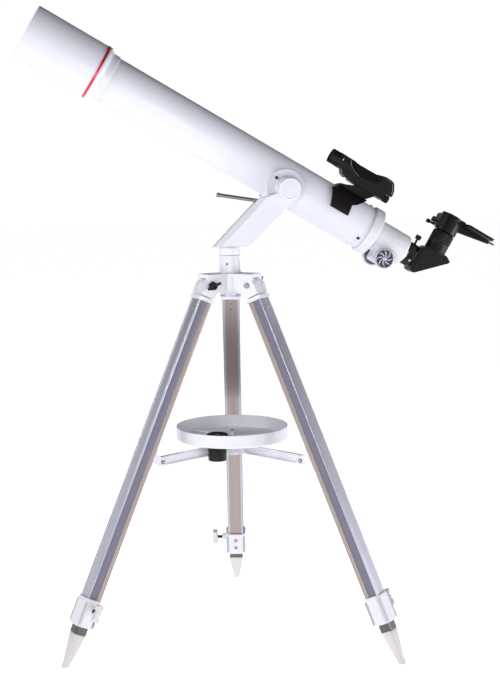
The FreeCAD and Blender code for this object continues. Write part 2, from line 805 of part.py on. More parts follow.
def altitude_parts():
    """Axle, round cap in front of the arm and the saddle plate behind it."""
    pivot = pivot_point()
    cap = lathe("cap_body", (
        ("axle_radius + 0.05", "0"),
        ("18.4", "0"),
        ("19.6", "1.2"),
        ("19.6", "9.5"),
        ("18.6", "12"),
        ("16", "13.5"),
        ("0", "13.5"),
        ("0", "9"),
        ("axle_radius + 0.05", "9"),
    ))
    node(move(cap, pivot.x, size("arm_front") - 0.3, pivot.z, "-y"), "altitude_cap")
    axle = lathe("axle_body", (
        ("0", "0"),
        ("axle_radius", "0"),
        ("axle_radius", "arm_back - arm_front + 15"),
        ("0", "arm_back - arm_front + 15"),
    ))
    node(move(axle, pivot.x, size("arm_front") - 9, pivot.z, "y"), "altitude_axle")
    disc = rod("plate_disc", "plate_radius", 26, ("-altitude_drop", "arm_back + 0.6 - axis_y", "0"), "y")
    hollow = rod("plate_hollow", "tube_radius + 0.05", 120, ("0", "0", "-60"))
    hole = rod("plate_hole", "axle_radius + 0.05", 7, ("-altitude_drop", "arm_back - axis_y", "0"), "y")
    node(cut("plate", disc, hollow, hole), "pivot_plate", TUBE)


# ---------------------------------------------------------------- optical tube

def on_axis(body, station):
    """Set a turned body on the optical axis, its own zero at a station."""
    return move(body, z=size(station))


def main_tube():
    body = lathe("tube_body", (
        ("tube_radius - tube_wall", "0"),
        ("tube_radius", "0"),
        ("tube_radius", "tube_front - tube_rear"),
        ("tube_radius - tube_wall", "tube_front - tube_rear"),
    ))
    node(on_axis(body, "tube_rear"), "main_tube", TUBE)


def objective_end():
    """Cell, red ring, dew shield and the two lens elements."""
    cell = lathe("cell_body", (
        ("tube_radius + 0.05", "0"),
        ("41.8", "0"),
        ("41.8", "13"),
        ("46.4", "18.5"),
        ("48.6", "18.5"),
        ("48.6", "ring_rear - cell_rear"),
        ("shield_bore - 0.05", "ring_rear - cell_rear"),
        ("shield_bore - 0.05", "41"),
        ("lens_radius + 0.1", "41"),
        ("lens_radius + 0.1", "14.2"),
        ("lens_radius - 1.4", "14.2"),
        ("lens_radius - 1.4", "3.2"),
        ("tube_radius + 0.05", "3.2"),
    ))
    node(on_axis(cell, "cell_rear"), "objective_cell", TUBE)
    ring = lathe("ring_body", (
        ("shield_bore", "0"),
        ("49", "0"),
        ("49.3", "0.5"),
        ("49.3", "ring_front - ring_rear - 0.5"),
        ("49", "ring_front - ring_rear"),
        ("shield_bore", "ring_front - ring_rear"),
    ))
    node(on_axis(ring, "ring_rear"), "accent_ring", TUBE)
    # The shield's seat slides on the cell's front sleeve; its mouth is a little wider.
    shield = lathe("shield_body", (
        ("shield_bore", "0"),
        ("shield_radius", "0"),
        ("shield_radius", "shield_front - ring_front - 1"),
        ("shield_radius - 0.6", "shield_front - ring_front"),
        ("shield_mouth", "shield_front - ring_front"),
        ("shield_mouth", "shield_seat"),
        ("shield_bore", "shield_seat"),
    ))
    node(on_axis(shield, "ring_front"), "dew_shield", TUBE)
    flint = lathe("flint_body", (
        ("0", "1.5"),
        ("18", "1"),
        ("lens_radius", "0"),
        ("lens_radius", "6"),
        ("18", "4.6"),
        ("0", "4"),
    ))
    crown = lathe("crown_body", (
        ("0", "0"),
        ("18", "0.6"),
        ("lens_radius", "2.2"),
        ("lens_radius", "6.5"),
        ("18", "8.8"),
        ("0", "9.6"),
    ))
    pair = group("lens_pair", on_axis(flint, "cell_rear + 14.4"), on_axis(crown, "cell_rear + 18.9"))
    node(pair, "objective_lens", TUBE)


def tube_baffles():
    """Two light stops across the inside of the tube."""
    stops = []
    for name, bore, station in (("front", "31", "180"), ("rear", "27", "-40")):
        stop = lathe(f"baffle_{name}", (
            (bore, "0"),
            ("tube_radius - tube_wall - 0.1", "0"),
            ("tube_radius - tube_wall - 0.1", "1.5"),
            (bore, "1.5"),
        ))
        stops.append(on_axis(stop, station))
    node(group("baffle_set", *stops), "tube_baffles", TUBE)


def rear_cell():
    body = lathe("rear_body", (
        ("24", "0"),
        ("rear_radius - 1.5", "0"),
        ("rear_radius", "1.5"),
        ("rear_radius", "tube_rear - rear_face - 0.1"),
        ("tube_radius - tube_wall - 0.1", "tube_rear - rear_face - 0.1"),
        ("tube_radius - tube_wall - 0.1", "38"),
        ("36.5", "38"),
        ("36.5", "5"),
        ("24", "5"),
    ))
    notch = block("rear_rack_notch", ("-28", "-15"), ("-5", "5"), ("rear_face - 1", "rear_face + 7"))
    node(cut("rear", on_axis(body, "rear_face"), notch), "rear_cell", TUBE)


# ---------------------------------------------------------------- rack focuser

PITCH = 2 * math.pi * size("pinion_pitch_radius") / 14
TOOTH_TIP = 0.30
TOOTH_ROOT = 0.98
ADDENDUM = 0.8
DEDENDUM = 1.1


def focuser_body():
    """Sleeve with a pinion housing below and a slot for the rack."""
    sleeve = lathe("sleeve_body", (
        ("drawtube_radius + 0.08", "0"),
        ("focuser_radius - 1.6", "0"),
        ("focuser_radius - 0.4", "3"),
        ("focuser_radius", "rear_face - focuser_rear - 0.1"),
        ("23.9", "rear_face - focuser_rear - 0.1"),
        ("23.9", "rear_face - focuser_rear + 11"),
        ("drawtube_radius + 0.08", "rear_face - focuser_rear + 11"),
    ))
    on_axis(sleeve, "focuser_rear")
    housing = block(
        "housing", ("-44", "-19"), ("-14", "14"), ("pinion_station - 15", "pinion_station + 15"),
    )
    housing_round = soften("housing_round", housing, 5.0, runs_along(FreeCAD.Vector(0, 1, 0)))
    draw_bore = rod("draw_bore", "drawtube_radius + 0.08", 90, ("0", "0", "focuser_rear - 2"))
    slot = block("rack_slot", ("-27", "-12"), ("-4.6", "4.6"), ("focuser_rear - 2", "rear_face + 13"))
    pocket = rod("pinion_pocket", 9, 12, ("-pinion_drop", "-6", "pinion_station"), "y")
    shaft_bore = rod(
        "shaft_bore", "shaft_radius + running_gap", 60, ("-pinion_drop", "-30", "pinion_station"), "y"
    )
    solid = fuse("focuser_solid", sleeve, housing_round)
    node(cut("focuser", solid, draw_bore, slot, pocket, shaft_bore), "focuser_body", TUBE)


def prism_of(points, width):
    """A solid across the tube from a closed outline of (X, Z) corners."""
    loop = [FreeCAD.Vector(x, -width / 2, z) for x, z in points]
    face = Part.Face(Part.makePolygon(loop + loop[:1]))
    return face.extrude(FreeCAD.Vector(0, width, 0))


def rack_teeth():
    """Rack along the drawtube's underside, a tooth centred on the pinion."""
    pitch_line = -(size("pinion_drop") - size("pinion_pitch_radius"))
    root = pitch_line + DEDENDUM
    tip = pitch_line - ADDENDUM
    back = -size("drawtube_radius") + 0.3
    centres = [size("pinion_station") + PITCH * step for step in range(-4, 24)]
    points = [(back, centres[0] - PITCH / 2), (root, centres[0] - PITCH / 2)]
    for centre in centres:
        points += [
            (root, centre - TOOTH_ROOT),
            (tip, centre - TOOTH_TIP),
            (tip, centre + TOOTH_TIP),
            (root, centre + TOOTH_ROOT),
        ]
    points += [(root, centres[-1] + PITCH / 2), (back, centres[-1] + PITCH / 2)]
    rack = doc.addObject("Part::Feature", "rack")
    rack.Shape = prism_of(points, 8)
    return rack


def drawtube():
    """Sliding tube with its rack."""
    outer = rod(
        "draw_outer", "drawtube_radius", "drawtube_front - drawtube_rear", ("0", "0", "drawtube_rear")
    )
    inner = rod(
        "draw_inner", "drawtube_bore", "drawtube_front - drawtube_rear + 2", ("0", "0", "drawtube_rear - 1")
    )
    tube = cut("draw_shell", outer, inner)
    node(fuse("draw", tube, rack_teeth()), "drawtube", TUBE)


def focus_shaft():
    """Pinion and the shaft that carries the two knobs."""
    pitch_radius = size("pinion_pitch_radius")
    points = []
    for tooth in range(14):
        # A gap of the pinion faces the rack's centre tooth.
        middle = math.radians(360 / 14 * (tooth + 0.5))
        for reach, half in (
            (pitch_radius - DEDENDUM, -TOOTH_ROOT * 0.9),
            (pitch_radius + ADDENDUM, -TOOTH_TIP),
            (pitch_radius + ADDENDUM, TOOTH_TIP),
            (pitch_radius - DEDENDUM, TOOTH_ROOT * 0.9),
        ):
            angle = middle + half / reach
            points.append((reach * math.cos(angle), reach * math.sin(angle)))
    pinion = doc.addObject("Part::Feature", "pinion")
    pinion.Shape = prism_of(points, 9)
    shaft = doc.addObject("Part::Cylinder", "focus_rod")
    link(shaft, "Radius", "shaft_radius")
    link(shaft, "Height", "knob_inner * 2 + 21.6")
    move(shaft, y=-size("knob_inner") - 10.8, along="y")
    solid = fuse("focus_solid", shaft, pinion)
    move(solid, x=-size("pinion_drop"), z=size("pinion_station"))
    node(solid, "focus_shaft", TUBE)


def focus_knobs():
    """A knob on each end of the shaft."""
    knobs = []
    for name, along, side in (("near", "-y", -1), ("far", "y", 1)):
        knob = lathe(f"knob_{name}", (
            ("shaft_radius + 0.05", "0"),
            ("9", "0"),
            ("9", "4"),
            ("knob_radius - 0.8", "4"),
            ("knob_radius", "5"),
            ("knob_radius", "13"),
            ("knob_radius - 0.8", "14"),
            ("knob_radius - 3", "14"),
            ("knob_radius - 3.6", "12.6"),
            ("0", "12.6"),
            ("0", "11"),
            ("shaft_radius + 0.05", "11"),
        ))
        knobs.append(move(
            knob, -size("pinion_drop"), side * size("knob_inner"), size("pinion_station"), along
        ))
    node(group("knob_pair", *knobs), "focus_knobs", TUBE)


def eyepiece_adapter():
    """Collar on the drawtube's end that takes the diagonal's barrel, with its thumbscrew."""
    step = "drawtube_rear - adapter_rear"
    collar = lathe("adapter_body", (
        ("barrel_bore_radius", "0"),
        ("adapter_radius - 1", "0"),
        ("adapter_radius", "1"),
        ("adapter_radius", "13.5"),
        ("adapter_radius - 1", "14.5"),
        ("drawtube_radius + 0.05", "14.5"),
        ("drawtube_radius + 0.05", step),
        ("barrel_bore_radius", step),
    ))
    on_axis(collar, "adapter_rear")
    bore = rod("adapter_screw_bore", 2.06, 20, ("12", "0", "adapter_screw_station"), "x")
    node(cut("adapter", collar, bore), "eyepiece_adapter", TUBE)
    shaft = rod("adapter_screw_shaft", 2, 14, ("barrel_radius + 0.4", "0", "adapter_screw_station"), "x")
    head = rod("adapter_screw_head", 5, 8, ("30", "0", "adapter_screw_station"), "x")
    node(fuse("adapter_thumbscrew", shaft, head), "adapter_screw", TUBE)


# ---------------------------------------------------------------- diagonal, eyepiece, phone adapter

def diagonal():
    """Right-angle prism housing with its barrel and eyepiece socket."""
    station = "eyepiece_station"
    case = slab("diagonal_case", (
        ("18", "adapter_rear - 0.5"),
        ("28", "-283.5"),
        ("29", "-322"),
        ("22.5", "-332.7"),
        ("19", "-331"),
        ("-26", "-283"),
        ("-25", "-274"),
        ("-18", "adapter_rear - 0.5"),
    ), "housing_half_width * 2")
    case_round = soften("diagonal_case_round", case, 2.0, runs_along(FreeCAD.Vector(0, 1, 0)))
    barrel = rod("diagonal_barrel", "barrel_radius", 32, ("0", "0", "adapter_rear - 3"))
    socket = rod("diagonal_socket", "socket_radius", "socket_top - 20", ("20", "0", station), "x")
    barrel_bore = rod("diagonal_barrel_bore", 13.5, 70, ("0", "0", "eyepiece_station + 10"))
    socket_bore = rod("diagonal_socket_bore", "barrel_bore_radius", 40, ("18", "0", station), "x")
    light_bore = rod("diagonal_light_bore", 13.5, 14, ("6", "0", station), "x")
    screw_bore = rod(
        "socket_screw_bore", 1.8, 10, ("socket_top - 6", "0", "eyepiece_station + socket_radius - 8")
    )
    well = slab("prism_well", (
        ("15", "-287"),
        ("15", "-318.2"),
        ("-16.2", "-287"),
    ), "31")
    solid = fuse("diagonal_solid", case_round, barrel, socket)
    hollows = (barrel_bore, socket_bore, light_bore, screw_bore, well)
    node(cut("diagonal_shell", solid, *hollows), "diagonal_housing", TUBE)
    prism = slab("prism_body", (
        ("14", "-288"),
        ("14", "-315.8"),
        ("-13.8", "-288"),
    ), "29")
    node(prism, "diagonal_prism", TUBE)


def eyepiece():
    """Eyepiece standing in the diagonal's socket."""
    body = lathe("eyepiece_body", (
        ("12", "0"),
        ("barrel_radius", "0"),
        ("barrel_radius", "socket_top - 21.7"),
        ("socket_radius", "socket_top - 21.7"),
        ("socket_radius", "42"),
        ("16", "43.5"),
        ("16", "64"),
        ("13", "64"),
        ("10", "61"),
        ("0", "61"),
        ("0", "30"),
        ("12", "30"),
    ))
    move(body, 22, 0, size("eyepiece_station"), "x")
    node(body, "eyepiece", TUBE)


def phone_adapter():
    """Round clamp on the eyepiece, the plate that a phone rests on and two thumbscrews."""
    drum = rod(
        "clamp_drum", "clamp_radius", "clamp_top - clamp_bottom",
        ("clamp_bottom", "0", "eyepiece_station"), "x",
    )
    jaw = slab("clamp_jaw", (
        ("clamp_bottom + 3", "-290"),
        ("clamp_bottom + 3", "-277.5"),
        ("91.5", "-277.5"),
        ("clamp_top - 1", "-285"),
        ("clamp_top - 1", "-290"),
    ), "26")
    heel = block("clamp_heel", ("84", "clamp_top"), ("-15", "15"), ("plate_front + 0.1", "-306"))
    case = fuse("clamp_case", drum, jaw, heel)
    bore = rod("clamp_bore", 16.1, 26, ("clamp_bottom - 2", "0", "eyepiece_station"), "x")
    window = rod("clamp_window", 11, 20, ("86", "0", "eyepiece_station"), "x")
    screw_bores = [
        rod(f"clamp_screw_bore_{name}", 2.1, 14, (height, across, "-290"))
        for name, height, across in (("upper", "76", "-6"), ("lower", "70", "9"))
    ]
    node(cut("clamp", case, bore, window, *screw_bores), "phone_clamp", TUBE)
    plate = block(
        "phone_table", ("91.5", "96"), ("-plate_half_width", "plate_half_width"), ("-380", "plate_front"),
    )
    plate_round = soften("phone_table_round", plate, 6.0, runs_along(FreeCAD.Vector(1, 0, 0)))
    web = slab("phone_web", (
        ("92", "plate_front"),
        ("92", "-384"),
        ("87", "-384"),
        ("77", "plate_front"),
    ), "7")
    peg = rod("phone_peg", 1.5, 18, ("91", "0", "-395"))
    node(fuse("phone_rest", plate_round, web, peg), "phone_plate", TUBE)
    screws = []
    for name, height, across, reach, radius in (
        ("upper", "76", "-6", "-274", "5"),
        ("lower", "70", "9", "-276", "3.4"),
    ):
        shaft = rod(f"phone_screw_shaft_{name}", 2, 14, (height, across, "-285"))
        head = rod(f"phone_screw_head_{name}", radius, 7, (height, across, reach))
        screws.append(fuse(f"phone_screw_{name}", shaft, head))
    node(group("phone_screw_pair", *screws), "phone_screws", TUBE)


# ---------------------------------------------------------------- red-dot finder

def finder_shoe():
    """Curved foot strapped to the tube's near side, with the pedestal for the finder."""
    strap = slab("shoe_strap", (
        ("0", "-84.5"),
        ("32", "-75"),
        ("36", "-83"),
        ("48", "-87"),
        ("48", "-150"),
        ("25", "-127"),
        ("20", "-119"),
        ("0", "-120"),
    ), "60")
    move(strap, y=-18)
    shell = rod("shoe_shell", "tube_radius + 4.5", 100, ("0", "0", "-160"))
    curved = common("shoe_curved", strap, shell)
    pedestal = slab("shoe_pedestal", (
        ("38", "-87"),
        ("47", "-89"),
        ("49", "-97"),
        ("finder_floor - 0.1", "-117"),
        ("finder_floor - 0.1", "-155"),
        ("36", "-134"),
    ), "20")
    pedestal_round = soften("shoe_pedestal_round", pedestal, 1.5, runs_along(FreeCAD.Vector(0, 1, 0)))
    hollow = rod("shoe_hollow", "tube_radius + 0.05", 120, ("0", "0", "-170"))
    node(cut("shoe", fuse("shoe_solid", curved, pedestal_round), hollow), "finder_shoe", TUBE)


def finder():
    """Sighting body with its open tunnel, window and brightness dial."""
    case = slab("finder_case", (
        ("finder_floor", "dial_front + 0.7"),
        ("finder_floor", "-111"),
        ("58.2", "-98.2"),
        ("61.5", "-97.5"),
        ("59", "-90.5"),
        ("62.2", "-82.2"),
        ("69", "-78"),
        ("69", "-66"),
        ("93.5", "-66"),
        ("92.5", "-86"),
        ("91", "-104"),
        ("91.5", "-137"),
        ("95.5", "-151"),
        ("96.5", "-158"),
        ("96", "-168"),
        ("93.5", "-174"),
        ("83", "-180"),
        ("70.6", "-181.6"),
        ("70.6", "dial_front + 0.7"),
    ), "finder_half_width * 2")
    case_round = soften("finder_case_round", case, 2.5, near_sides)
    nose = rod("finder_nose", "finder_tube_radius", 46, ("finder_height", "0", "-96"))
    tunnel = rod("finder_tunnel", "finder_bore", 140, ("finder_height", "0", "-185"))
    mouth = rod("finder_mouth", 11.5, 12, ("finder_height", "0", "-60"))
    dial_bore = rod("finder_dial_bore", "2.5 + running_gap", 12, ("dial_height", "0", "dial_front - 1"))
    solid = fuse("finder_solid", case_round, nose)
    node(cut("finder_shell", solid, tunnel, mouth, dial_bore), "finder_body", TUBE)
    pane = rod("finder_pane", 11.4, 2, ("finder_height", "0", "-59.8"))
    node(group("finder_glass", pane), "finder_window", TUBE)
    wheel = rod("dial_wheel", "dial_radius", 11.5, ("dial_height", "0", "dial_front - 11.5"))
    stem = rod("dial_stem", 2.5, 10, ("dial_height", "0", "dial_front - 1"))
    node(fuse("dial", wheel, stem), "finder_dial", TUBE)


def near_sides(edge):
    """Picks the long upper edges of the finder's two sides."""
    middle = edge.CenterOfMass
    return middle.x > 88 and abs(middle.y) > size("finder_half_width") - 0.1


for side, angle in LEGS.items():
    frame = leg_frame(angle)
    leg_head(side, frame)
    leg_rail(side, frame)
    lock_collar(side, frame)
    lock_wing(side, frame)
    inner_rail(side, frame)
    foot_tip(side, frame)
    spreader_bracket(side, frame)
    strut(side, angle)
tripod_hub()
pivot_bolts()
azimuth_bearing()
spreader_hub()
tray()
spare_eyepiece()
mount_arm()
steering_rod()
altitude_parts()
main_tube()
objective_end()
tube_baffles()
rear_cell()
focuser_body()
drawtube()
focus_shaft()
focus_knobs()
eyepiece_adapter()
diagonal()
eyepiece()
phone_adapter()
finder_shoe()
finder()

# ---------------------------------------------------------------- check and export

doc.recompute()
for obj in doc.Objects:
    if "Invalid" in obj.State or "Error" in obj.State:
        raise RuntimeError(f"{obj.Name} failed: {obj.State}")
os.makedirs("parts", exist_ok=True)
for obj in NODES:
    shape = obj.Shape
    if shape.isNull() or not shape.isValid() or not shape.Solids:
        raise RuntimeError(f"{obj.Label} has no valid shape")
    shape.exportStep(f"parts/{obj.Label}.step")
    print(f"{obj.Label}: {len(shape.Solids)} solid(s), {shape.Volume / 1000:.1f} cm3")
print(len(NODES), "nodes")
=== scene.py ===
import json
import math

import bmesh
import bpy
from mathutils import Matrix, Vector

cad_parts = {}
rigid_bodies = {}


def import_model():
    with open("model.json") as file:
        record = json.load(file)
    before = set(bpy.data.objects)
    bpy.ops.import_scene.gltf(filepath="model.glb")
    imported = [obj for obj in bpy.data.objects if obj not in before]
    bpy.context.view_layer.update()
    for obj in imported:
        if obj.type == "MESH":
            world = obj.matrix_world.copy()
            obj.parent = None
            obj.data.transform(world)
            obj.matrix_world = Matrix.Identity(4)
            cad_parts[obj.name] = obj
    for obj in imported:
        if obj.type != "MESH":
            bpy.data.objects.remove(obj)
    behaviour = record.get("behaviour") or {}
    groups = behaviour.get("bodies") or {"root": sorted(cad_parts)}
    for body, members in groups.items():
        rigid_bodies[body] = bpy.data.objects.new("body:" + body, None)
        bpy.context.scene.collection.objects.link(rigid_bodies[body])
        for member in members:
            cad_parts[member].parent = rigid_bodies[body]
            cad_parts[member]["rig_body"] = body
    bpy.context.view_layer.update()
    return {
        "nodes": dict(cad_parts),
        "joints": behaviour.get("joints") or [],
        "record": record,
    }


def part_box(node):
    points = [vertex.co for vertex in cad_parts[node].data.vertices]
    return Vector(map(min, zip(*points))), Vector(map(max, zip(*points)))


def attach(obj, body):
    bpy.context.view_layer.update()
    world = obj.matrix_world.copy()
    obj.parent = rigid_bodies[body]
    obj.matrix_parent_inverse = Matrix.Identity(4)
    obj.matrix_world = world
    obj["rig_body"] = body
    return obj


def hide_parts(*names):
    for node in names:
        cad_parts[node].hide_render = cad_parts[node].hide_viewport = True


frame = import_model()

# Shapes are drawn in millimetres in the frame of their assembly. A piece's own place is in metres.
MM = 0.001
SEGMENTS = 128
SIDES = ("back", "left", "right")
WORLD = Matrix.Identity(4)

joints = {joint["name"]: joint for joint in frame["joints"]}
mounts = {mount["name"]: mount for mount in frame["record"]["mounts"]}


# ---- assembly frames

def basis(origin, across, out, along):
    """A frame from its origin and its X, Y and Z directions."""
    turn = Matrix((across, out, along)).transposed().to_4x4()
    return Matrix.Translation(origin) @ turn


def tube_frame():
    """Z forward on the optical axis from the altitude axis, X up and square to it."""
    mouth = Vector(mounts["dew_shield_mouth"]["pos_m"])
    forward = Vector(mounts["dew_shield_mouth"]["axis"]).normalized()
    pivot = Vector(joints["altitude_tilt"]["pos_m"])
    side = Vector((0, 1, 0))
    origin = mouth + forward * (pivot - mouth).dot(forward)
    return basis(origin, side.cross(forward), side, forward)


def leg_frame(side):
    """Z up the leg from its hinge, Y outwards, X along the hinge."""
    up = -Vector(joints[f"leg_extension_{side}"]["axis"]).normalized()
    across = -Vector(joints[f"leg_hinge_{side}"]["axis"]).normalized()
    return basis(Vector(joints[f"leg_hinge_{side}"]["pos_m"]), across, up.cross(across), up)


def strut_frame(side):
    """Y along the strut from its inner pin, X along the pin."""
    pivot = Vector(joints[f"strut_hinge_{side}"]["pos_m"])
    across = -Vector(joints[f"strut_hinge_{side}"]["axis"]).normalized()
    low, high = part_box(f"strut_{side}")
    middle = (low + high) / 2 - pivot
    out = (middle - across * middle.dot(across)).normalized()
    return basis(pivot, across, out, across.cross(out))


def spun(degrees, axis="Z"):
    return Matrix.Rotation(math.radians(degrees), 4, axis)


def reach(node, place):
    """Lowest and highest corners of a CAD node in an assembly frame, in millimetres."""
    inward = place.inverted()
    points = [inward @ vertex.co for vertex in frame["nodes"][node].data.vertices]
    low = Vector([min(point[i] for point in points) for i in range(3)])
    high = Vector([max(point[i] for point in points) for i in range(3)])
    return low / MM, high / MM


def standing(node):
    """The place under a round CAD part that stands upright, its radius and its height in mm."""
    low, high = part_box(node)
    centre = (low + high) / 2
    place = Matrix.Translation((centre.x, centre.y, low.z))
    return place, (high.x - low.x) / 2 / MM, (high.z - low.z) / MM


TUBE = tube_frame()
LEGS = {side: leg_frame(side) for side in SIDES}
STRUTS = {side: strut_frame(side) for side in SIDES}
# Turns that point a shape's Z along X, -X, Y and -Y.
TURN_X = spun(90, "Y")
TURN_BACK_X = TURN_X.inverted()
TURN_Y = spun(-90, "X")
TURN_BACK_Y = spun(90, "X")


# ---- materials

def set_inputs(node, values):
    for socket, value in values.items():
        node.inputs[socket.replace("_", " ")].default_value = value


def new_node(tree, kind, **values):
    """A node of a kind, with some of its own inputs set."""
    node = tree.nodes.new("ShaderNode" + kind)
    set_inputs(node, values)
    return node


def noise(tree, scale, detail, stretch):
    """Noise fixed to the piece, its scale in features per metre."""
    coords = new_node(tree, "TexCoord")
    mapping = new_node(tree, "Mapping", Scale=stretch)
    texture = new_node(tree, "TexNoise", Scale=scale, Detail=detail)
    tree.links.new(coords.outputs["Object"], mapping.inputs["Vector"])
    tree.links.new(mapping.outputs["Vector"], texture.inputs["Vector"])
    return texture.outputs["Fac"]


def remapped(tree, source, from_low, from_high, low, high):
    """A value carried from one range to another."""
    span = new_node(
        tree, "MapRange", From_Min=from_low, From_Max=from_high, To_Min=low, To_Max=high
    )
    tree.links.new(source, span.inputs["Value"])
    return span.outputs["Result"]


def ramped(tree, source, low, high):
    """A value turned into a colour between two (position, colour) stops."""
    ramp = new_node(tree, "ValToRGB")
    for element, (position, color) in zip(ramp.color_ramp.elements, (low, high)):
        element.position = position
        element.color = (*color, 1)
    tree.links.new(source, ramp.inputs["Fac"])
    return ramp.outputs["Color"]


def tinted(tree, source, color, less, more):
    """Noise turned into a colour that drifts between two shares of itself."""
    dark, light = (tuple(min(1.0, part * share) for part in color) for share in (less, more))
    return ramped(tree, source, (0.35, dark), (0.65, light))


def bumped(tree, principled, source, depth):
    """Relief of a depth in millimetres from a height between 0 and 1."""
    bump = new_node(tree, "Bump", Distance=depth * MM)
    tree.links.new(source, bump.inputs["Height"])
    tree.links.new(bump.outputs["Normal"], principled.inputs["Normal"])


EVEN = (1, 1, 1)
DRAWN = (1, 1, 0.02)
DRIFT_SCALE = 14
SMEAR_SCALE = 60


def surface(name, color, roughness, grain, depth, stretch=EVEN, vary=0.05, uneven=0.06, **values):
    """Colour that drifts over the piece, uneven gloss and a fine relief of its own grain."""
    material = bpy.data.materials.new(name)
    material.use_nodes = True
    tree = material.node_tree
    principled = tree.nodes["Principled BSDF"]
    set_inputs(principled, {"Base_Color": (*color, 1), "Roughness": roughness, **values})
    drift = noise(tree, DRIFT_SCALE, 4, stretch)
    tint = tinted(tree, drift, color, 1 - vary, 1 + vary * 0.6)
    tree.links.new(tint, principled.inputs["Base Color"])
    smear = noise(tree, SMEAR_SCALE, 5, stretch)
    gloss = remapped(tree, smear, 0.3, 0.7, max(0.02, roughness - uneven), roughness + uneven)
    tree.links.new(gloss, principled.inputs["Roughness"])
    bumped(tree, principled, noise(tree, grain, 2, stretch), depth)
    return material


def paint_floor_reflection(material, level, reflection_color):
    """Give a leg's rail a warmer tone on the side towards the tripod's middle: a painted reflection
    of the floor.
    """
    tree = material.node_tree
    principled = tree.nodes["Principled BSDF"]
    coords = new_node(tree, "TexCoord")
    parts = new_node(tree, "SeparateXYZ")
    tree.links.new(coords.outputs["Object"], parts.inputs["Vector"])
    inner = remapped(tree, parts.outputs["Y"], (level + 0.1) * MM, (level - 0.1) * MM, 0, 1)
    blend = tree.nodes.new("ShaderNodeMix")
    blend.data_type = "RGBA"
    cool_tone = principled.inputs["Base Color"].links[0].from_socket
    # painted reflection of the floor, blended in on the inner side of the level
    painted_reflection = tinted(tree, noise(tree, 30, 4, DRAWN), reflection_color, 0.92, 1.08)
    for source, socket in ((inner, 0), (cool_tone, 6), (painted_reflection, 7)):
        tree.links.new(source, blend.inputs[socket])
    tree.links.new(blend.outputs[2], principled.inputs["Base Color"])


BLACK = (0.0105, 0.0078, 0.0088)
CLEAR = {"Transmission_Weight": 1.0, "IOR": 1.52}
